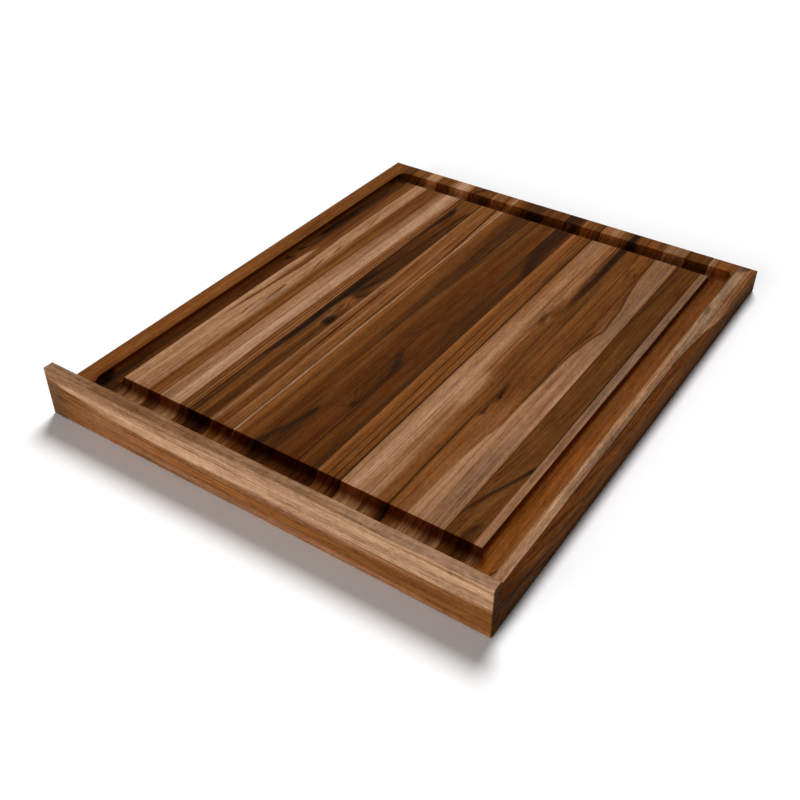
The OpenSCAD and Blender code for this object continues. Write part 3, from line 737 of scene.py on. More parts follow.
def stave_10():
    w = stave(10, lean=12, sway=1.5)
    w.bend(235, 257, 34, 7, 4.0)
    w.bend(156, 258, 22, 8, 3.0)
    rows(w, (0, [(239, "redbrown"), (246, "redbrown"), (255, "redbrown"), (265, "redbrown")]),
         (160, [(239, "redbrown"), (247, "redbrown"), (255, "redbrown"), (265, "umber")]),
         (330, [(239, "redbrown"), (246, "redbrown"), (254, "redbrown"), (265, "redbrown")]),
         (600, [(239, "redbrown"), (246, "brown"), (256, "redbrown"), (265, "brown")]))
    w.patch("rust", 430, 249, 60, 8, 0.4)
    w.patch("rust", 400, 261, 9, 2.5, 0.5)
    w.patch("rust", 90, 254, 60, 12, 0.3)
    w.patch("umber", 205, 254, 60, 9, 0.45)
    w.patch("greybrown", 352, 241, 12, 3, 0.4)
    # soft dark slanting band
    w.mark("umber", [(272, 240.4, .8, 0), (283, 242.6, 2.6, .8), (296, 246.4, 2.4, .6), (310, 251, 2.6, .6), (326, 256, 3, .5), (350, 259, 3, 0)], 1.6)
    # the main knot and its fine lines
    w.mark("umber", [(205, 257, 3, 0), (220, 257, 6, .6), (238, 255.5, 7, .7), (250, 253, 5, .5), (262, 252, 3, 0)], 2.2, 1, 1.2)
    w.mark("slate", [(214, 263, 1, 0), (224, 261, 3, .65), (236, 257.4, 4.4, .7), (246, 254, 3.4, .5), (254, 252, 1.5, 0)], 1.6, 1, 1.0)
    w.knot(233, 257.5, 12, 5.0, "dark", "slate", 0.6, 11.0)
    w.knot(245, 252.0, 6, 3.4, "dark", "dark", 0.6, 10.0)
    for dx, a0, a1, kk in ((0.0, 196, 252, .8), (-2.6, 204, 256, .7), (-5.2, 212, 258, .6), (-7.6, 220, 256, .6), (-10.0, 226, 252, .5)):
        w.mark("dark", [(a0, 262.6 + dx * .5, .2, 0), (a0 + 14, 262.4 + dx * .7, .55, kk), (a0 + 30, 260.6 + dx, .6, kk), (a1 - 8, 256.6 + dx * .8, .55, kk), (a1, 254 + dx * .5, .2, 0)], .6)
    # lines that hang from it and hook to the left
    w.mark("dark", [(134, 229, .3, 0), (138, 236, .7, .3), (141, 242, .9, .7), (144, 250, 1.0, .8), (149, 258, 1.1, .85), (158, 262.4, .9, .8), (175, 263.8, .8, .8), (200, 263.8, 1.0, .95),
                    (225, 263.6, 1.1, .95), (238, 261.6, .8, .6), (250, 259.6, .4, 0)], .8)
    w.mark("umber", [(160, 246, .4, 0), (172, 243.6, .7, .6), (190, 244, .6, .5), (215, 248, .6, .4), (226, 251, .4, 0)], .8)
    w.mark("dark", [(149, 263, .4, 0), (156, 258.6, .8, .75), (166, 252.6, .8, .75), (177, 247.6, .6, .5), (188, 245, .4, 0)], .7)
    w.mark("dark", [(151, 264, .4, 0), (160, 261.0, .8, .7), (172, 256.4, .7, .7), (186, 252.6, .6, .6), (200, 251.6, .5, .4), (212, 252, .4, 0)], .7)
    w.mark("umber", [(158, 264, .4, 0), (172, 261.4, .7, .7), (190, 258, .6, .6), (210, 256, .6, .5), (226, 256, .4, 0)], .7)
    w.mark("umber", [(190, 260.4, .6, 0), (205, 259, .8, .7), (222, 257, .8, .6), (230, 256, .4, 0)], .8)
    w.mark("umber", [(142, 245, .4, 0), (148, 252, .8, .6), (152, 259, .8, .6), (156, 263, .5, 0)], .7)
    w.knot(154, 259.5, 6.0, 4.0, "dark", "dark", 0.8, 9.0)
    w.mark("brown", [(40, 264.0, .4, .5), (120, 264.0, .5, .6), (200, 264.2, .3, .3), (240, 264.2, .3, 0)], .4)
    w.mark("umber", [(0, 240, .6, .4), (120, 239.8, .7, .6), (240, 239.6, .6, .3), (300, 240, .5, 0)], .8)
    # swirls between the knots
    for y0, x0, y1, x1 in ((196, 241.5, 222, 246), (178, 243, 214, 247.5), (168, 247, 206, 252), (172, 252, 214, 256), (160, 240.5, 186, 241.5)):
        w.mark("umber", [(y0, x0 + 2.5, .3, 0), (y0 + (y1 - y0) * .3, x0, .6, .7), (y0 + (y1 - y0) * .7, (x0 + x1) * .5 - .6, .6, .6), (y1, x1, .3, 0)], .7)
    w.mark("umber", [(246, 262.5, .4, 0), (254, 258.5, .8, .7), (262, 254.0, .7, .5), (270, 250, .3, 0)], .8)
    w.mark("umber", [(238, 246.0, .6, 0), (246, 249.0, 1.6, .6), (254, 252, 1.4, .4), (264, 254, .6, 0)], 1.2, 1, .8)
    w.mark("redbrown", [(150, 239.6, .8, 0), (190, 239.8, 1.4, .6), (235, 240, 1.2, .5), (260, 240, .6, 0)], 1.0)
    w.under("brown", 585, 640, 240, 264, .5)
    return done(w, stripes=0.85, pins=0.2, gain=.93)


def stave_11():
    w = stave(11, lean=10)
    w.drift([(0, 0), (330, 0), (450, 3), (520, 8), (640, 12)])
    rows(w, (0, [(265.4, "redbrown"), (272, "olive"), (280, "redbrown"), (284, "umber"), (288.9, "umber")]),
         (200, [(265.4, "redbrown"), (272, "redbrown"), (280, "redbrown"), (284, "umber"), (288.9, "umber")]),
         (360, [(265.4, "redbrown"), (274, "umber"), (281, "umber"), (288.9, "umber")]),
         (480, [(265.4, "umber"), (274, "redbrown"), (281, "umber"), (288.9, "dark")]),
         (540, [(265.4, "umber"), (272, "umber"), (280, "dark"), (288.9, "umber")]))
    w.mark("dark", [(380, 290, 3, 0), (420, 288, 4, .3), (450, 286.4, 5, .75), (470, 282.6, 7, .9), (490, 278.6, 9, .95), (515, 275.2, 10, .95), (540, 274, 10.4, .95), (580, 274, 10.4, .95), (618, 275, 11, .9)], 2.0, .92, 1.2)
    w.mark("black", [(446, 287.8, 1.6, 0), (464, 285.0, 3.6, .4), (484, 280.0, 4.2, .45), (506, 275.6, 4.2, .4), (535, 272.4, 3.8, .3), (575, 271, 3.4, .2)], 3.0, .8, .8)
    w.mark("umber", [(390, 268.6, .6, 0), (420, 268.6, 1.4, .5), (460, 270, 1.4, .5), (500, 272, 1, 0)], 1.4)
    w.mark("slate", [(540, 272, 2, 0), (570, 272, 3, .4), (618, 273, 4, .5)], 2.0)
    w.mark("redbrown", [(470, 287.4, .8, 0), (520, 286.6, 1.8, .6), (560, 286.4, 2.4, .7), (600, 286.4, 2.4, .7)], 1.2)
    w.mark("umber", [(120, 286.6, 1.2, 0), (180, 285, 2.8, .6), (330, 285, 2.6, .6), (400, 286, 1.6, .3), (420, 287, 1, 0)], 1.4)
    w.mark("rust", [(0, 288.2, .5, .4), (330, 288.2, .6, .5), (420, 288.4, .6, .4)], .5)
    # dark line beside the left joint
    w.mark("dark", [(0, 266.4, .9, .95), (120, 266.4, .9, .95), (215, 266.1, .8, .9), (240, 265.8, .5, .4), (280, 265.6, .4, 0)], .5)
    w.under("tanbrown", 585, 640, 269, 273.5, .4, 1.2)
    # painted shade on the floor of the groove runs, set darker here for this stave's darker wood
    return done(w, stripes=0.85, pins=0.25, end_tone=(0.62, 0.45, 0.36), run_tone=(0.42, 0.31, 0.25))


def stave_12():
    w = stave(12, lean=6, sway=0.7)
    rows(w, (0, [(288.9, "amber"), (295, "honey"), (302, "amber"), (308, "honey"), (315, "honey")]),
         (330, [(288.9, "amber"), (295, "honey"), (304, "honey"), (310, "honey"), (315, "honey")]),
         (600, [(288.9, "amber"), (295, "amber"), (304, "honey"), (310, "brown"), (315, "brown")]))
    w.mark("umber", [(0, 300.8, 1.0, .9), (150, 299.8, .7, .9), (250, 298.6, .8, 1), (330, 298.8, .8, 1), (390, 299.4, .7, .8), (440, 301.6, .7, .8), (500, 301.2, .7, .8), (575, 301.0, .9, .9), (618, 301, .9, .7)], .75)
    w.mark("umber", [(0, 308.4, 1.0, .9), (150, 307.0, .8, 1), (330, 305.2, .8, 1), (400, 305.0, .8, .9), (440, 303.6, .7, .7), (500, 305, .6, .6), (575, 306.4, .8, .9), (618, 306.6, .9, .8)], .75)
    w.mark("umber", [(0, 314.2, 1.5, 1), (330, 314.2, 1.4, 1), (450, 313.8, 1.3, .9), (575, 313.6, 1.3, .95), (618, 313.6, 1.3, .9)], .7)
    w.mark("dark", [(0, 314.4, .5, .5), (330, 314.2, .4, .5), (575, 313.4, .4, .5), (618, 313.2, .4, .5)], .5)
    w.mark("brown", [(0, 311.2, .5, .5), (300, 310.4, .5, .5), (400, 310.4, .5, .3), (430, 310, .5, 0)], .5)
    w.mark("brown", [(300, 296, .3, 0), (360, 296.4, .5, .7), (440, 295.6, .6, .8), (500, 296, .5, .5), (560, 296.5, .3, 0)], .5)
    w.mark("greybrown", [(430, 311, 1.5, 0), (460, 311, 2.6, .75), (500, 310.8, 2.6, .6), (560, 310.4, 1.6, .4), (618, 310, 1.5, .3)], 1.0)
    w.mark("brown", [(0, 304.4, .4, .5), (300, 302, .4, .4), (360, 302, .4, 0)], .5)
    w.mark("umber", [(540, 309.6, .3, 0), (575, 309.8, .5, .7), (618, 310, .6, .7)], .5)
    w.mark("tanbrown", [(0, 289.8, 1.2, .5), (300, 290, 1.4, .5), (618, 290.5, 1.4, .5)], 1.0)
    return done(w, stripes=0.9, pins=0.4, pin_gap=2.4)


def stave_13():
    w = stave(13, lean=6)
    rows(w, (0, [(315.3, "tan"), (322, "tan"), (329, "cream"), (336, "tan"), (341.2, "tan")]),
         (230, [(315.3, "pinktan"), (322, "tan"), (328, "cream"), (336, "tan"), (341.2, "tan")]),
         (330, [(315.3, "tanbrown"), (321, "pinktan"), (328, "tan"), (336, "pinktan"), (341.2, "pinktan")]),
         (450, [(315.3, "tanbrown"), (321, "tanbrown"), (329, "tan"), (336, "tanbrown"), (341.2, "pinktan")]),
         (600, [(315.3, "tanbrown"), (322, "tanbrown"), (330, "pinktan"), (341.2, "tanbrown")]))
    w.mark("tan", [(240, 330, 1.5, 0), (330, 329, 2.6, .6), (420, 328, 3.0, .8), (470, 328.6, 2.6, .7), (520, 331, 2, 0)], 1.4, .8, .6)
    w.mark("greytan", [(480, 321, 3, 0), (520, 321, 5, .5), (560, 322, 6, .6), (580, 322, 5, 0)], 2.4, 1, .8)
    w.mark("brown", [(330, 320.5, .4, 0), (380, 321.6, .7, .6), (440, 319, .7, .6), (520, 318, .5, 0)], .8)
    w.mark("brown", [(470, 332.0, .2, 0), (488, 331.2, .9, .6), (505, 330, .8, .5), (522, 329.2, .3, 0)], .6)
    w.mark("tanbrown", [(60, 321.4, .5, .5), (140, 321, .7, .6), (220, 320.8, .6, .5), (300, 321, .4, 0)], .8)
    w.mark("tanbrown", [(60, 333.0, .5, .5), (130, 332.6, .8, .7), (205, 332.4, .8, .7), (270, 332, .5, .4), (320, 332, .3, 0)], .8)
    w.mark("brown", [(166, 332.6, .3, 0), (178, 332.4, .8, .6), (190, 331.6, .8, .5), (202, 331.4, .3, 0)], .6)
    w.mark("tanbrown", [(60, 339.8, .5, .6), (160, 339.8, .7, .7), (240, 339.6, .6, .5), (280, 339.6, .4, 0)], .7)
    w.mark("tanbrown", [(255, 338, .8, 0), (275, 338.6, 2.4, .6), (300, 339.4, 2.6, .7), (330, 340, 2, .6), (420, 340.6, 1.4, .5)], 1.2)
    w.mark("brown", [(360, 337.6, .4, 0), (390, 337, .9, .5), (425, 334.8, .9, .6), (455, 334.2, .5, 0)], .8)
    w.mark("brown", [(380, 340.6, .5, 0), (400, 340.6, .9, .8), (425, 340.6, .6, 0)], .7)
    w.mark("brown", [(590, 341, .8, 0), (600, 341, 1.4, .7), (618, 341, 2, .8)], .8)
    w.patch("cream", 120, 328, 50, 6, .3)
    w.patch("tanbrown", 400, 322, 60, 5, .3)
    w.under("brown", 585, 640, 315, 342, .35)
    return done(w, stripes=0.95, pins=0.15, ripple=0.05)


def stave_14():
    w = stave(14, lean=8)
    w.drift([(0, 0), (330, 0), (400, 6), (460, 14), (640, 20)], 352, 16)
    rows(w, (0, [(341.2, "tan"), (344, "pinktan"), (350, "palegold"), (355, "tanbrown"), (360, "amber"), (364, "honey"), (368.2, "brown")]),
         (170, [(341.2, "tanbrown"), (347, "pinktan"), (352, "tanbrown"), (358, "amber"), (363, "honey"), (368.2, "brown")]),
         (240, [(341.2, "tan"), (348, "pinktan"), (352, "tanbrown"), (358, "honey"), (368.2, "brown")]),
         (285, [(341.2, "tanbrown"), (346, "honey"), (352, "brown"), (358, "brown"), (368.2, "brown")]),
         (420, [(341.2, "tanbrown"), (346, "honey"), (352, "brown"), (360, "brown"), (368.2, "brown")]),
         (600, [(341.2, "tanbrown"), (348, "honey"), (352, "brown"), (364, "olive"), (368.2, "brown")]))
    w.mark("tan", [(211, 345, 3, 0), (224, 345.5, 4.4, .8), (245, 345, 4, .8), (262, 344, 3.2, .7), (273, 343.2, 2.4, .5), (277, 343, 1, 0)], 1.2, .9, .8)
    w.mark("tanbrown", [(162, 347, 4, 0), (180, 347, 6.4, .8), (206, 347, 6.4, .85), (217, 347, 5, 0)], 1.8, .9, .8)
    w.mark("tan", [(50, 350, 1.6, .3), (110, 350, 2.0, .4), (150, 349.6, 1.6, .3), (175, 349, 1, 0)], 1.8)
    w.mark("brown", [(60, 345.4, .5, .5), (110, 345.2, .9, .7), (150, 345.4, .7, .4), (180, 346, .3, 0)], .8)
    w.mark("umber", [(0, 367.6, 1.2, .85), (120, 367.2, 1.5, .9), (180, 366.8, 1.5, .9), (215, 367, 1.1, .6), (260, 367, .5, 0)], 1.1)
    w.mark("brown", [(0, 364, 1.0, .3), (120, 364.4, 1.2, .4), (260, 362.6, 1.8, .6), (330, 359, 1.4, .7), (380, 358, 1.2, .6), (420, 360, 1, 0)], 1.2)
    w.mark("umber", [(215, 363.6, .5, 0), (255, 362.0, 1.0, .6), (290, 359.6, 1.1, .7), (330, 357.6, 1.1, .8), (370, 357.2, 1.0, .7), (405, 358, .5, 0)], .9)
    # figure that opens towards the left joint
    w.mark("tanbrown", [(268, 342, 2, 0), (300, 342.6, 2.6, .7), (340, 343.4, 2.4, .7), (370, 342.8, 1.6, .5), (384, 342, 1, 0)], 1.4, 1, .5)
    w.mark("umber", [(310, 346.4, .4, 0), (340, 346.6, .7, .5), (365, 345.8, .6, .4), (380, 345, .4, 0)], .8)
    w.mark("brown", [(374, 346, 3.0, 0), (388, 347, 6.0, .7), (404, 349, 7.0, .7), (420, 351, 7.4, .7), (436, 354, 6.6, .5), (455, 356, 5, 0)], 2.6, .9, 1.4)
    w.patch("umber", 396, 345, 16, 3.4, .6)
    w.patch("umber", 382, 348, 10, 5.0, .4)
    w.patch("pinktan", 388, 350.4, 9, 2.2, .5)
    w.patch("umber", 408, 352, 12, 3.4, .4)
    # black column that comes in from the back and fades out
    w.mark("brown", [(430, 356, 4, 0), (470, 357, 7.6, .6), (540, 357, 8.4, .7), (618, 357, 9, .7)], 2.6, .9, .8)
    w.mark("umber", [(395, 356.6, 1.2, .0), (410, 356.8, 2.2, .5), (425, 356.6, 3.6, .7), (445, 356.6, 5.0, .9), (470, 357.0, 5.4, .9), (520, 357, 5.8, .8), (618, 357, 6, .8)], 2.2, .9, .9)
    w.mark("dark", [(425, 355.4, 1.5, 0), (448, 356.0, 3.0, .6), (470, 356.6, 3.8, .85), (520, 357.0, 4.0, .9), (575, 357.2, 4.2, .95), (618, 357.2, 4.6, .95)], 1.8, .92, .8)
    w.mark("black", [(470, 356.8, 1.4, 0), (500, 357.0, 2.2, .5), (530, 357.2, 2.6, .7), (570, 357.6, 2.6, .7), (618, 357.6, 3, .6)], 1.8, .9, .6)
    w.mark("umber", [(440, 349.6, .5, 0), (480, 349.8, 1.0, .7), (560, 348.6, 1.1, .8), (618, 347.6, 1.4, .7)], .9)
    w.mark("umber", [(540, 344.6, .4, 0), (580, 344, .9, .6), (618, 344, 1.2, .7)], .8)
    w.mark("tan", [(395, 342.0, 1.0, 0), (425, 342.8, 2.0, .6), (480, 343.6, 2.2, .5), (540, 344, 1.6, .3), (570, 344, 1, 0)], 1.2)
    w.mark("honey", [(470, 365, 1.5, 0), (520, 365.4, 2.2, .5), (580, 365.6, 2.2, .6), (618, 365.6, 2, .6)], 1.2)
    w.under("black", 0, 60, 361, 369, .6, 1.8)
    w.under("umber", 0, 60, 343, 348, .6, 1.4)
    w.under("black", 585, 640, 350, 368, .7, 2.0)
    return done(w, stripes=0.95, pins=0.3, gain=.95)


def stave_15():
    w = stave(15, lean=10)
    w.bend(215, 372, 30, 7, 3.0)
    w.bend(528, 387, 16, 7, 2.5)
    rows(w, (0, [(368.2, "amber"), (376, "amber"), (384, "tanbrown"), (390, "tan"), (396.6, "tan")]),
         (190, [(368.2, "amber"), (378, "amber"), (386, "tanbrown"), (396.6, "amber")]),
         (265, [(368.2, "brown"), (376, "honey"), (386, "honey"), (396.6, "brown")]),
         (420, [(368.2, "brown"), (376, "honey"), (386, "brown"), (396.6, "brown")]),
         (600, [(368.2, "brown"), (376, "honey"), (386, "honey"), (396.6, "brown")]))
    w.mark("tanbrown", [(190, 380, 5, 0), (204, 381, 9, .6), (218, 383, 11, .7), (232, 384, 9, .5), (250, 384, 5, 0)], 2.6, .9, 1.0)
    # lines that fan out beside the knots
    for k, (x, b) in enumerate(((372.5, 3.2), (375.0, 4.4), (377.6, 5.2), (380.4, 5.4), (383.4, 5.0))):
        w.mark("brown", [(168, x - 1.6, .2, 0), (188, x + b * .45, .45, .6), (206, x + b, .5, .65), (224, x + b * .9, .5, .6), (246, x + b * .2, .45, .5), (268, x - 1.2, .2, 0)], .6)
    w.mark("umber", [(300, 376.2, .6, 0), (330, 376.0, .9, .6), (420, 378.4, .9, .7), (500, 378.8, .8, .7), (575, 377.4, .8, .7), (618, 375, .8, .7)], .7)
    w.mark("umber", [(360, 368.8, .6, .3), (400, 368.4, 1.4, .85), (440, 368.6, 1.4, .85), (470, 369, .8, 0)], .8)
    w.mark("umber", [(240, 378.6, .4, 0), (270, 377.4, .8, .7), (300, 376.4, .8, .6), (330, 376, .6, 0)], .7)
    w.mark("redbrown", [(60, 377, .8, .3), (130, 378, .8, .4), (170, 379, .8, .3), (190, 381, .5, 0)], .9)
    w.mark("redbrown", [(245, 388, 2, 0), (270, 388.6, 3, .6), (300, 389, 3.4, .6), (360, 390, 3, .5), (420, 391, 2, 0)], 2.0)
    w.mark("redbrown", [(330, 384.6, .6, 0), (380, 384, 1.2, .6), (450, 384.6, 1.2, .5), (500, 385, .6, 0)], 1.0)
    w.mark("umber", [(226, 395.8, .4, 0), (250, 395.6, .8, .8), (330, 396.0, .9, .85), (450, 396.0, .9, .85), (575, 396.2, .8, .7), (618, 396.4, .6, .5)], .6)
    w.mark("brown", [(0, 369.6, .8, .7), (120, 369.4, .7, .7), (190, 369.4, .6, .4), (210, 369.4, .4, 0)], .6)
    # sapwood that starts at the right joint and widens to the front
    w.mark("tan", [(0, 398, 11.4, 1), (60, 398, 11.2, 1), (110, 398, 10.2, 1), (150, 398, 8.2, 1), (180, 398, 5.4, 1), (200, 398, 2.8, 1), (214, 398, .4, .8), (222, 398, -1, 0)], .6, .96, .4)
    w.mark("cream", [(60, 388.6, .8, .6), (110, 389.6, .9, .7), (150, 391.4, .8, .6), (180, 394.0, .6, .4), (200, 396, .4, 0)], .7)
    w.mark("amber", [(0, 384, 2, .4), (90, 384.6, 2, .5), (140, 386.6, 2, .4), (180, 390, 1.4, .3), (205, 393, 1, 0)], 1.6)
    # knots at the left joint and the small one near the back
    w.mark("umber", [(234, 371, 2, 0), (246, 371.4, 3.4, .6), (262, 370.6, 2.4, .5), (272, 370, 1.4, 0)], 1.4, 1, .6)
    w.knot(250, 371.2, 14, 3.2, "umber", "dark", 0.9, 7.0)
    w.mark("umber", [(196, 369.2, .5, 0), (212, 369.8, 1.6, .8), (235, 369.8, 1.6, .8), (260, 369.8, 1.6, .8), (280, 369.4, .8, .5), (300, 369, .4, 0)], 1.2, .85, .5)
    w.mark("redbrown", [(228, 373, 1.5, 0), (240, 373, 3.4, .7), (256, 371.4, 3.0, .7), (270, 370.6, 1.6, 0)], 1.4, .8, .8)
    w.mark("black", [(237, 374.2, .6, 0), (242, 373.6, 1.6, .85), (251, 371.4, 1.3, .8), (264, 370, .5, 0)], .8)
    w.mark("dark", [(206, 370.2, .8, 0), (213, 370.8, 2.2, .9), (222, 370.2, 1.6, .7), (236, 369.4, .5, 0)], 1.0)
    w.knot(526, 391.6, 7, 1.9, "redbrown", "dark", 0.85, 7.0)
    w.mark("umber", [(512, 384, 2.4, 0), (522, 383, 3.4, .45), (532, 382, 3.0, .6), (540, 385, 2, .3), (548, 388, 1, 0)], 1.6, .9, .6)
    w.mark("umber", [(545, 378.4, .4, 0), (560, 376.8, .8, .6), (600, 375, .8, .6), (618, 374, .8, .6)], .7)
    w.under("umber", 585, 640, 369, 396, .5, 1.6)
    return done(w, stripes=0.9, pins=0.45, pin_gap=2.8, gain=.96)


def stave_16():
    w = stave(16, lean=8)
    w.drift([(0, 0), (240, 0), (300, 1.2), (350, 4), (380, 8), (410, 14), (440, 11), (470, 7), (520, 2), (575, 0), (640, 0)], 400, 16)
    rows(w, (0, [(396.6, "pinktan"), (403, "tan"), (411, "pinktan"), (418, "pinktan"), (424.5, "tan")]),
         (140, [(396.6, "tan"), (404, "pinktan"), (413, "greytan"), (424.5, "pinktan")]),
         (230, [(396.6, "tan"), (404, "tan"), (413, "pinktan"), (424.5, "tan")]),
         (300, [(396.6, "pinktan"), (408, "pinktan"), (416, "pinktan"), (424.5, "tan")]),
         (420, [(396.6, "pinktan"), (408, "pinktan"), (413, "greytan"), (418, "greytan"), (424.5, "pinktan")]),
         (600, [(396.6, "pinktan"), (406, "pinktan"), (411, "pinktan"), (417, "greytan"), (424.5, "tanbrown")]))
    w.mark("greytan", [(120, 415, 2.4, 0), (150, 415.4, 4, .6), (180, 415, 4, .6), (215, 415, 3, 0)], 2.4, .9, 1.0)
    w.mark("tan", [(430, 420.6, 1.0, 0), (480, 420.4, 1.6, .6), (560, 420.4, 1.6, .6), (600, 420.4, 1, 0)], 1.2, .9, .5)
    w.mark("brown", [(410, 413.6, .3, 0), (440, 412.8, .6, .4), (500, 409.6, .6, .4), (540, 408, .3, 0)], .8)
    w.mark("honey", [(225, 392, 3, 0), (250, 392, 4.8, .9), (300, 392, 6.2, 1), (330, 392, 7.4, 1), (350, 392, 9.0, 1), (372, 392, 11.6, 1), (385, 392, 13.8, 1), (395, 392, 16.4, 1),
                      (404, 392, 18.6, 1), (411, 392, 18.8, 1), (418, 392, 17, 1), (430, 392, 16.2, 1), (450, 392, 15.6, 1), (468, 392, 12.6, 1), (482, 392, 10.4, 1),
                      (500, 392, 8.4, 1), (525, 392, 6.6, 1), (575, 392, 5.2, 1), (600, 392, 4, 0)], .5, .95, .25)
    w.mark("tanbrown", [(388, 402, 1.6, 0), (402, 404.4, 4.2, .9), (425, 402.6, 3.6, .8), (445, 401.6, 2.4, .4), (460, 401, 1, 0)], 1.6, 1, .4)
    w.mark("umber", [(330, 398, .6, 0), (365, 398.8, 1.8, .6), (382, 400, 2.0, .6), (394, 402.4, 1.8, .5), (402, 405, 1, 0)], 1.0, 1, .3)
    w.mark("umber", [(225, 396.6, .4, 0), (250, 396.9, .7, .6), (300, 398.2, .9, .8), (330, 399.4, 1.0, .9), (350, 401.0, 1.1, .95), (372, 403.6, 1.2, .95), (385, 405.8, 1.1, .95), (395, 408.4, 1.0, .85),
                     (404, 410.6, .9, .6), (411, 410.8, .9, .6), (418, 409, 1.0, .8), (430, 408.2, 1.1, .95), (450, 407.6, 1.1, .95), (468, 404.6, 1.1, .95), (482, 402.4, 1.1, .95),
                     (500, 400.4, 1.0, .9), (525, 398.6, .9, .8), (575, 397.2, .7, .7), (600, 397, .4, .3)], .6, .9)
    w.patch("greytan", 415, 419, 20, 4, .4)
    w.dim(330, 430, (0.82, 0.80, 0.77))
    return done(w, stripes=1.0, pins=0.12, ripple=0.05, gain=.93)


def stave_17():
    w = stave(17, lean=12, sway=1.5)
    w.drift([(0, -4), (90, -2), (170, 10), (260, 14), (380, 14), (500, 12), (640, 18)])
    rows(w, (0, [(424.5, "olive"), (434, "olive"), (444, "olive"), (453, "olive")]),
         (110, [(424.5, "olive"), (434, "brown"), (444, "brown"), (453, "olive")]),
         (200, [(424.5, "brown"), (434, "olive"), (444, "brown"), (453, "olive")]),
         (330, [(424.5, "olive"), (430, "olive"), (440, "brown"), (448, "olive"), (453, "olive")]),
         (600, [(424.5, "olive"), (430, "olive"), (438, "olive"), (446, "brown"), (453, "olive")]))
    w.mark("umber", [(0, 425.2, .8, .4), (260, 425.4, 1.0, .6), (330, 425.6, 1.0, .7), (420, 425.8, 1.2, .8), (480, 426, 1.2, .8), (540, 425.8, 1.2, .8), (618, 425.6, 1.2, .7)], .9)
    w.mark("umber", [(400, 426.6, .5, 0), (440, 427.6, 1.4, .7), (480, 429.4, 1.8, .8), (520, 431.6, 1.9, .8), (560, 434.4, 1.4, .6), (600, 437, 1, .3), (618, 438, 1, 0)], 1.2)
    w.mark("umber", [(480, 443, .5, 0), (520, 444.4, 1.2, .5), (560, 447, 1.2, .5), (618, 450, 1, .4)], 1.2)
    w.mark("umber", [(300, 447, .6, 0), (325, 448.4, 1.4, .6), (350, 450, 1.6, .6), (390, 452, 1.8, .8), (430, 452.4, 1.6, .7), (470, 451.6, 1.2, .4), (500, 451, 1, 0)], 1.2)
    w.mark("umber", [(330, 436, .5, 0), (370, 434.6, 1.0, .4), (420, 436, 1.0, .4), (460, 438, .5, 0)], 1.2)
    w.mark("umber", [(186, 438, .6, 0), (220, 441, 1.2, .5), (255, 445, 1.4, .5), (290, 449, 1.2, .5), (320, 452, 1, 0)], 1.4)
    w.mark("umber", [(238, 426.4, .6, 0), (252, 426.8, 1.8, .75), (265, 427, 1.2, .7), (278, 427, .5, 0)], 1.0, 1, .6)
    w.mark("umber", [(206, 430, .5, 0), (222, 431.6, 1.0, .7), (245, 434, 1.2, .75), (262, 436, .6, .3), (280, 438, .4, 0)], 1.0)
    w.mark("umber", [(160, 427, .4, 0), (185, 429.6, .9, .6), (215, 433.4, 1.0, .6), (245, 438.4, .9, .5), (280, 443, .8, .5), (310, 446, .5, 0)], 1.0)
    w.mark("umber", [(132, 425, .4, 0), (145, 428.4, 1.0, .75), (165, 431.4, 1.1, .65), (195, 434, .9, .5), (225, 437, .5, 0)], 1.0)
    w.mark("honey", [(100, 428, .6, 0), (125, 431, 1.4, .5), (150, 437, 1.4, .5), (170, 443, 1.0, 0)], 1.2)
    # main dark diagonal
    w.mark("umber", [(76, 424, .8, .6), (90, 427.4, 2.0, .8), (105, 431.6, 2.3, .85), (122, 437, 2.5, .85), (140, 443, 2.5, .9), (155, 447.6, 2.6, .9), (168, 452, 2.8, .9), (178, 455, 2, .6)], 1.4, .9, .6)
    w.mark("dark", [(80, 425, .3, .5), (90, 427, .8, .8), (105, 431.2, 1.0, .8), (122, 436.6, 1.2, .85), (140, 442.6, 1.3, .9), (155, 447.4, 1.6, .95), (168, 452, 2.0, .95), (178, 455, 1.6, .6)], .9, .92, .4)
    w.mark("black", [(150, 446, .3, 0), (162, 450.6, 1.4, .7), (172, 453, 1.5, .8)], .8)
    w.mark("umber", [(50, 447, 5, .7), (64, 446, 5, .75), (78, 448, 3.8, .7), (92, 450, 1.5, 0)], 2.0, 1, 1.2)
    w.mark("dark", [(52, 444, 2, .3), (66, 441.6, 2.4, .55), (76, 445.6, 2.4, .55), (86, 449, 1.2, 0)], 1.4, 1, .6)
    w.mark("umber", [(56, 427, 1, .3), (76, 432, 1.0, .4), (96, 439, .9, .4), (116, 447, .8, .3), (130, 452, .5, 0)], 1.4)
    w.under("slate", 585, 640, 427, 451, .6, 1.8)
    w.dim(330, 430, (0.85, 0.84, 0.79))
    return done(w, stripes=0.95, pins=0.2, warm=1.3, gain=.93)


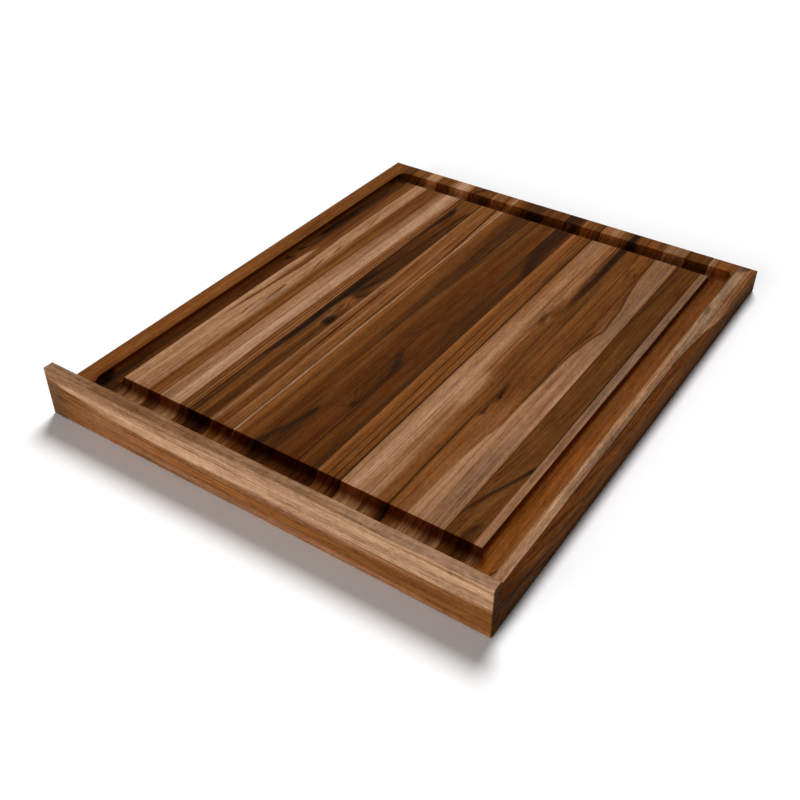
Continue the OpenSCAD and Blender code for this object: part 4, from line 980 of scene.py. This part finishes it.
def stave_18():
    w = stave(18, lean=2)
    rows(w, (0, [(453, "#84593a"), (458, "pinktan"), (461, "pinktan"), (463, "#824a1b"), (472, "#824a1b"), (480.9, "#7e4a20")]),
         (200, [(453, "#7e5c43"), (458, "#805a40"), (461, "pinktan"), (463.4, "#824a1b"), (472, "#80481b"), (480.9, "amber")]),
         (300, [(453, "mauve"), (458, "mauve"), (461, "#7c5c43"), (463.4, "amber"), (472, "honey"), (480.9, "amber")]),
         (600, [(453, "tanbrown"), (458, "mauve"), (461, "greytan"), (463.4, "honey"), (472, "honey"), (480.9, "honey")]))
    w.mark("tan", [(60, 455.2, .9, .6), (200, 455.2, 1.0, .7), (300, 455, .8, .3), (360, 455, .5, 0)], .8)
    w.mark("greytan", [(230, 458.2, 1.0, 0), (280, 458.4, 1.2, .4), (420, 458.6, 1.2, .3), (560, 458.8, 1.4, .4), (590, 458.8, 1, 0)], 1.0)
    w.mark("mauve", [(270, 455.0, .8, 0), (320, 455.0, 1.2, .5), (420, 454.8, 1.4, .6), (560, 454.8, 1.4, .6), (590, 455.2, 1, 0)], 1.0)
    w.mark("amber", [(580, 468, 5, 0), (598, 470, 9, .8), (618, 470, 10, .8)], 1.4)
    w.mark("pinktan", [(580, 456.5, 2, 0), (598, 456.5, 3.6, .8), (618, 456.5, 4.0, .9)], 1.0)
    w.mark("redbrown", [(566, 462.4, .4, 0), (585, 462.4, .7, .8), (618, 462.0, .7, .8)], .5)
    w.mark("rust", [(500, 472, 4, 0), (560, 474, 6, .6), (590, 474, 6, .6), (600, 474, 5, 0)], 2.4, .9, 1.0)
    w.mark("umber", [(572, 480, 1, 0), (584, 479.6, 2.0, .5), (596, 479, 2.0, .5), (604, 479, 1, 0)], 1.4)
    w.patch("rust", 470, 473, 40, 6, .35)
    for x, kk in ((454.6, .7), (457.4, .8), (460.0, .8)):
        w.under("redbrown", 0, 60, x - .35, x + .35, kk, .4)
    w.dim(360, 470, (0.88, 0.87, 0.83))
    # painted shade on the steep right wall of the plateau, which faces away from the light
    return done(w, stripes=0.9, pins=0.25, wall_tone=(0.55, 0.32, 0.15), gain=.97)


def stave_19():
    w = stave(19, lean=20, sway=0.5)
    n = w.n
    # heartwood side: lines lie across the corner, falling towards the back
    rows(w, (0, [(480.9, "amber"), (483.4, "amber"), (484.6, "pinktan"), (488, "tan"), (491, "greytan"), (494, "tan"), (505.8, "tan")]),
         (330, [(480.9, "amber"), (483.4, "amber"), (484.8, "pinktan"), (488, "tan"), (492, "greytan"), (505.8, "pinktan")]),
         (600, [(480.9, "honey"), (484, "honey"), (486, "greytan"), (491, "pinktan"), (497, "greytan"), (505.8, "tanbrown")]))
    # greyer towards the back
    w.col = n.mix(n.step(w.a, 380.0, 460.0) * n.step(w.s, 484.0, 486.0), w.col,
                  n.mix(1.0, w.col, n.vec(1.0, 1.17, 1.32), "MULTIPLY"))
    w.mark("mauve", [(90, 490, .8, 0), (130, 490.6, 1.8, .6), (200, 490.8, 2.2, .9), (250, 491.6, 2.0, .85), (290, 492.6, 1.2, .4), (330, 493, .8, 0)], 1.2, .95, 1.2)
    w.mark("cream", [(60, 487.4, .6, .3), (140, 487.4, .8, .5), (220, 487.6, .8, .5), (300, 487.6, .6, 0)], .8)
    w.mark("slate", [(472, 487.6, .6, 0), (480, 487.4, 1.6, .5), (488, 487.4, 1.0, .3), (496, 487.8, 1.8, .65), (506, 487.4, 2.4, .75), (514, 486.8, 1.4, .5), (522, 486, .6, 0)], 1.4, .9, .8)
    w.mark("slate", [(535, 485.8, .6, 0), (548, 485.6, 1.8, .5), (560, 485, 1.4, .5), (574, 484.4, 1.0, .4), (586, 484, .6, 0)], 1.6, .9, .6)
    w.mark("mauve", [(350, 490, 1.5, 0), (420, 490, 2.4, .5), (470, 489, 2.4, .5), (500, 490, 2, 0)], 1.8, .9, .8)
    w.mark("tanbrown", [(470, 501, 2, 0), (520, 500, 4, .6), (570, 500.4, 5, .7), (618, 500, 7, .8)], 2.4, .9, 1.2)
    w.mark("brown", [(500, 505, .6, 0), (540, 504.6, .8, .5), (590, 504, .8, .5), (618, 504, .6, .3)], .8, 1, .5)
    w.mark("umber", [(596, 488, 2, 0), (605, 489, 4, .7), (612, 491, 6, .85), (618, 492, 8, .9)], 1.4, .9, .8)
    w.mark("umber", [(38, 483.4, 1.0, 0), (44, 483.0, 1.3, .85), (50, 483.2, .7, 0)], .6)
    # red-brown heartwood beyond the sapwood edge
    edge = [(0, 494.7), (392, 494.9), (408, 495.8), (425, 497.0), (445, 498.6), (462, 500.2), (475, 502.6), (490, 504.8), (510, 506.6), (540, 508.8), (575, 509.8), (618, 510.5)]
    w.mark("redbrown", [(y, x + 30.0, 30.0, 1) for y, x in edge], .45, .96, .25)
    w.col = n.mix(n.step(w.s, 495.5, 497.0) * n.step(w.a, 470.0, 380.0) * 0.6, w.col, linear("brown"))
    heart = n.step(w.s, 494.5, 495.5)
    across = w.x + w.d * 0.385 - w.a * 0.13
    streak = n.noise(across * (1 / 3.4), w.a * (1 / 160.0) + 5.0, w.d * 0.01, 3.0, 0.55)
    streak2 = n.noise(across * (1 / 8.0) + 3.0, w.a * (1 / 260.0), 2.0, 1.0)
    m = n.step(streak + streak2 * 0.7, 0.0, 1.1) * n.step(w.s, 496.0, 498.5)
    side = n.step(w.a, 560, 430)
    w.col = n.mix(m * side * 0.75, w.col, linear("dark"))
    lite = n.step(streak * -1.0 - streak2 * 0.5, 0.2, 1.2) * n.step(w.s, 496.0, 498.5) * side
    w.col = n.mix(lite * 0.45, w.col, linear("rust"))
    w.mark("umber", [(y, x + .6, .5, .9 if y > 380 else .4) for y, x in edge], .6, .8)
    w.mark("dark", [(0, 508, 11, .8), (30, 508, 10, .8), (48, 509, 9, .7), (62, 511, 8, .5), (80, 513, 7, 0)], 2.4, .85, .8)
    # the heartwood on the top made darker and redder: partly its own tone, partly painted shade so it reads as one with
    # the shaded side beyond the edge
    w.col = n.mix(heart * n.step(w.p[0], 0.2525, 0.2505), w.col,
                  n.mix(1.0, w.col, n.vec(0.92, 0.81, 0.74), "MULTIPLY"))
    # streaks on the outer side that fall towards the back
    before = w.col
    w.low = w.d
    for tone, kk, half, pts in (
            ("black", .95, 1.0, [(0, 3, .5), (24, 2.6, .7), (44, 3.0, .9), (64, 5.0, .95), (85, 8.4, .9), (106, 12.8, .75), (130, 19, .45), (152, 26, 0)]),
            ("dark", .85, .8, [(70, -3, 0), (100, 1, .7), (130, 6, .7), (160, 11, .6), (190, 17, .5), (225, 26, 0)]),
            ("umber", .8, 1.0, [(150, -3, 0), (175, 2, .6), (210, 8, .6), (250, 15, .6), (300, 26, 0)]),
            ("umber", .8, .7, [(230, -3, 0), (262, 2, .5), (300, 9, .6), (340, 17, .5), (380, 26, 0)]),
            ("dark", .7, .7, [(300, -3, 0), (330, 2, .4), (375, 9, .5), (420, 18, .5), (450, 26, 0)]),
            ("umber", .8, 1.0, [(440, -2, 0), (465, 1, .7), (482, 5, .8), (500, 9.4, .8), (530, 11.6, .8), (575, 13, .7), (618, 14, .6)])):
        w.mark(tone, [(y, z, 1.9 * half, s) for y, z, s in pts], 1.8, kk, 1.4, on="low")
    low = n.step(w.d, 19.0, 25.0) * n.step(w.p[0], 0.2515, 0.2525)
    w.col = n.mix(low * 0.25, w.col, linear("umber"))
    back = n.step(w.a, 440.0, 560.0) * n.step(w.p[0], 0.2505, 0.2530)
    w.col = n.mix(back * 0.62, w.col, linear("brown"))
    w.col = n.mix(back, w.col, n.mix(1.0, w.col, n.vec(0.68, 0.62, 0.57), "MULTIPLY"))
    w.col = n.mix(n.step(w.p[0], 0.2500, 0.2530), before, w.col)
    # painted light: the outer side made lighter, most near its top edge
    return done(w, stripes=1.3, pins=0.15, ripple=0.03, mottle=1.4, side_gain=2.0)


def lip():
    w = Wood("wood_lip", "X", seed=71.3, lean=-14, arc=0.01, sway=0.9)
    n = w.n
    # cathedral figure of the lower wood: lines dive to the lower edge at the left
    w.drift([(-260, 26), (-240, 20), (-215, 12), (-180, 6), (-120, 2), (0, 0), (260, -3)], 8, 32)
    w.base(0, 57, [
        (-260, [(0, "brown"), (10, "brown"), (24, "brown"), (36, "brown"), (46, "brown"), (49, "tanbrown"), (57, "pinktan")]),
        (-214, [(0, "tanbrown"), (10, "tanbrown"), (22, "tanbrown"), (27, "brown"), (38.5, "brown"), (41, "pinktan"), (46, "blond"), (57, "pinktan")]),
        (-170, [(0, "amber"), (8, "tanbrown"), (18, "tanbrown"), (24, "tanbrown"), (33.5, "tanbrown"), (36, "pinktan"), (41, "blond"), (48, "tan"), (57, "pinktan")]),
        (-90, [(0, "tanbrown"), (7, "tanbrown"), (18, "amber"), (24, "tanbrown"), (30, "tanbrown"), (32, "cream"), (40, "blond"), (47, "tan"), (57, "pinktan")]),
        (-20, [(0, "tanbrown"), (7, "tanbrown"), (16, "amber"), (21, "amber"), (25, "tanbrown"), (29, "tanbrown"), (32, "cream"), (40, "blond"), (47, "cream"), (57, "cream")]),
        (80, [(0, "tanbrown"), (7, "tanbrown"), (14, "honey"), (20, "honey"), (24, "tanbrown"), (31, "cream"), (33, "blond"), (45, "cream"), (57, "cream")]),
        (160, [(0, "tanbrown"), (7, "tanbrown"), (14, "honey"), (22, "honey"), (28, "tanbrown"), (30, "tanbrown"), (32, "cream"), (34, "blond"), (45, "cream"), (57, "cream")]),
        (254, [(0, "amber"), (8, "amber"), (18, "honey"), (30, "honey"), (33.5, "tanbrown"), (36, "cream"), (44, "blond"), (57, "cream")])])
    edge = [(-254, 46.5), (-240, 44.2), (-225, 40.6), (-210, 38.2), (-195, 36.6), (-175, 34.4), (-150, 32.0), (-125, 30.4), (-90, 29.0), (-50, 28.4), (0, 28.8),
            (50, 29.6), (100, 29.6), (150, 29.8), (185, 30.6), (215, 32.0), (240, 33.0), (254, 33.2)]
    sap = w.mark("blond", [(a, z + 32.0, 32.0, 1) for a, z in edge], .7, .85, .3)
    w.mark("pinktan", [(-254, 57, 12, .9), (-200, 57, 11, .9), (-100, 57, 10, .8), (-60, 57, 8, .7), (-20, 57, 6, .5), (40, 57, 5, .3), (100, 56, 5, .3), (254, 56, 5, .4)], 3.0, .9, 1.6)
    w.mark("cream", [(-10, 37, 4, 0), (40, 38, 5, .5), (110, 39, 5, .5), (180, 39, 5, .6), (254, 40, 5, .6)], 3.0, .8, 1.0)
    w.mark("blond", [(-10, 32.2, .8, 0), (40, 32.4, 1.4, .8), (110, 32, 1.4, .9), (180, 33, 1.4, .9), (254, 35.6, 1.4, .8)], .8)
    # lower wood, just below the edge
    w.mark("pinktan", [(-200, 31, 2.0, 0), (-160, 28.6, 1.6, .3), (-100, 26.4, 1.5, .5), (0, 25.8, 1.8, .6), (60, 25.4, 2.6, .8), (120, 25.6, 2.4, .7), (170, 27, 1.6, 0)], 1.2, 1, .4)
    w.mark("brown", [(-215, 30.5, 1.0, 0), (-190, 29.6, 1.4, .6), (-160, 27.0, 1.4, .7), (-120, 25.0, 1.3, .8), (-60, 23.0, 1.4, .8), (0, 21.6, 1.8, .8), (60, 21.0, 2.4, .7), (120, 20.4, 2.8, .6), (180, 20, 3, .3)], 1.2, .8, .6)
    w.mark("brown", [(-254, 26, 17, .9), (-240, 25, 17, .85), (-225, 22, 15, .7), (-205, 18, 12, .45), (-180, 14, 9, 0)], 4.0, .8, 1.5)
    w.mark("greybrown", [(-254, 26, 8, .4), (-238, 28, 8, .4), (-222, 26, 5, 0)], 4.0)
    w.mark("brown", [(60, 12, 3, 0), (110, 13, 5, .5), (170, 15, 8, .7), (254, 16, 12, .7)], 3.0, .85, 1.0)
    w.mark("pinktan", [(-190, 8, 3, 0), (-140, 9, 4, .5), (-60, 8, 4, .5), (20, 6, 3, .5), (90, 5, 2.6, .5), (180, 4, 2.4, .4), (254, 4, 2, .2)], 2.0, .8, 1.0)
    for z, x0, x1, kk in ((17.5, -150, 40, .6), (14.2, -180, 60, .5), (11.6, -120, 150, .6), (5.4, -200, 60, .5), (25.4, -40, 200, .5), (8.4, 20, 250, .5), (16.4, 90, 254, .6)):
        w.mark("redbrown", [(x0, z + 1, .2, 0), (x0 + 50, z, .5, kk), ((x0 + x1) / 2, z - .6, .6, kk), (x1 - 30, z - .3, .5, kk), (x1, z, .2, 0)], .6)
    for z, x0, x1, kk in ((46, -90, 60, .5), (43, -60, 20, .5), (49, -30, 60, .4), (52, 60, 200, .4), (47.5, 120, 250, .4), (41, 150, 254, .3)):
        w.mark("tanbrown", [(x0, z + .6, .2, 0), (x0 + 30, z, .45, kk), ((x0 + x1) / 2, z - .4, .5, kk), (x1 - 20, z - .2, .45, kk), (x1, z, .2, 0)], .6)
    w.col = n.mix(n.math("MULTIPLY_ADD", sap, -1.176, 1.0), w.col,
                  n.mix(1.0, w.col, n.vec(1.42, 1.50, 1.75), "MULTIPLY"))
    left = n.step(w.a, -218.0, -250.0)
    w.col = n.mix(left * n.math("MULTIPLY_ADD", sap, -0.75, 0.75), w.col, linear("#654731"))
    # the top edge is greyer, with cross ripples and a darker stretch
    top = n.step(w.nor[2], 0.55, 0.9)
    c = n.mix(0.9, w.col, linear("pinktan"))
    pale = n.step(w.a, -150.0, -235.0)
    pale = n.max(pale, n.step(w.a, 60.0, 140.0))
    c = n.mix(pale * 0.55, c, linear("#95765c"))
    tr = n.noise(w.a * (1 / 4.6), w.d * (1 / 9.0), 3.0, 3.0, 0.6)
    dk = n.step(w.a, -215.0, -170.0) * n.step(w.a, -90.0, -125.0)
    c = n.mix(dk * 0.85, c, linear("#5c3e26"))
    dk2 = n.step(w.a, -110.0, -70.0) * n.step(w.a, 110.0, 60.0)
    c = n.mix(dk2 * 0.55, c, linear("#74543a"))
    c = n.mix(1.0, c, n.vec(0.88, 0.88, 0.9), "MULTIPLY")
    c = n.mix(n.step(tr, -0.2, 1.2) * 0.45, c, linear("#63462d"))
    w.col = n.mix(top * 0.92, w.col, c)
    # cross ripples on the upper part of the front, at the left
    rp = n.noise((w.a + w.x * 0.8) * (1 / 3.6), w.x * (1 / 22.0), w.d * (1 / 14.0), 2.0, 0.6)
    zone = n.step(w.x, 38.0, 48.0) * n.step(w.a, -40.0, -90.0)
    w.col = n.mix(n.step(rp, -0.1, 0.9) * zone * 0.45, w.col, linear("tanbrown"))
    # end faces: dark end grain all over
    face = n.step(n.abs(w.nor[0]), 0.35, 0.85)
    w.col = n.mix(face * 0.85, w.col, linear("#7a5c40"))
    return w.finish(stripes=1.0, pins=0.28, pin_gap=2.4, ripple=0.10, mottle=1.2,
                    end_tone=(0.33, 0.235, 0.17))


def dowels():
    w = Wood("wood_dowels", "Y", seed=55.0, lean=30)
    w.base(0, 508, [(0, [(0, "cream"), (250, "palegold"), (508, "cream")])])
    return w.finish(stripes=0.8, pins=0.2, end_tone=(0.6, 0.55, 0.5))


MAKERS = [stave_01, stave_02, stave_03, stave_04, stave_05, stave_06, stave_07, stave_08,
          stave_09, stave_10, stave_11, stave_12, stave_13, stave_14, stave_15, stave_16,
          stave_17, stave_18, stave_19]


def dress(node, mat):
    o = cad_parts[node]
    if not o.material_slots:
        o.data.materials.append(mat)
    for sl in o.material_slots:
        sl.material = mat


for i, make in enumerate(MAKERS):
    dress("stave_%02d" % (i + 1), make())
dress("front_lip", lip())
dress("lip_dowels", dowels())


# ---------------------------------------------------------------- floor
def plain(name, colour, rough):
    n = Net(name)
    tc = n.t.nodes.new("ShaderNodeTexCoord")
    p = n.split(V(n, tc.outputs["Object"]))
    g = n.noise(p[0] * 2.0, p[1] * 2.0, p[2] * 2.0, 3.0)
    k = n.math("MULTIPLY_ADD", g, 0.004, 1.0)
    b = n.t.nodes.new("ShaderNodeBsdfPrincipled")
    out = n.t.nodes.new("ShaderNodeOutputMaterial")
    n.put(b.inputs["Base Color"], n.mix(1.0, colour, n.vec(k, k, k), "MULTIPLY"))
    b.inputs["Roughness"].default_value = rough
    b.inputs["Specular IOR Level"].default_value = 0.1
    n.t.links.new(b.outputs[0], out.inputs["Surface"])
    return n.mat


floor_mesh = bpy.data.meshes.new("floor")
F = 60.0
floor_mesh.from_pydata([(-F, -F, 0), (F, -F, 0), (F, F, 0), (-F, F, 0)], [], [(0, 1, 2, 3)])
floor = bpy.data.objects.new("floor", floor_mesh)
floor.location = (0, 0, -0.0002)
bpy.context.scene.collection.objects.link(floor)
floor_mesh.materials.append(plain("floor_paint", (0.97, 0.97, 0.97, 1), 0.7))

# ---------------------------------------------------------------- light
scene = bpy.context.scene
world = bpy.data.worlds.new("studio")
scene.world = world
world.use_nodes = True
bg = world.node_tree.nodes["Background"]
bg.inputs["Color"].default_value = (1.0, 1.0, 1.0, 1)
bg.inputs["Strength"].default_value = 0.11


def soft(name, toward, spread, level):
    """A very large soft box far away in the direction given. level is what a white
    surface square to it would show."""
    d = bpy.data.lights.new(name, "SUN")
    d.angle = math.radians(spread)
    d.energy = level * math.pi
    o = bpy.data.objects.new(name, d)
    o.rotation_euler = (-Vector(toward)).to_track_quat("-Z", "Y").to_euler()
    scene.collection.objects.link(o)


soft("key", (-0.19, 0.54, 0.82), 22, 0.95)
soft("fill", (-0.12, -0.92, 0.30), 36, 0.52)

scene.view_settings.view_transform = "Standard"
scene.view_settings.look = "None"
scene.view_settings.exposure = 0.0
scene.view_settings.gamma = 1.0
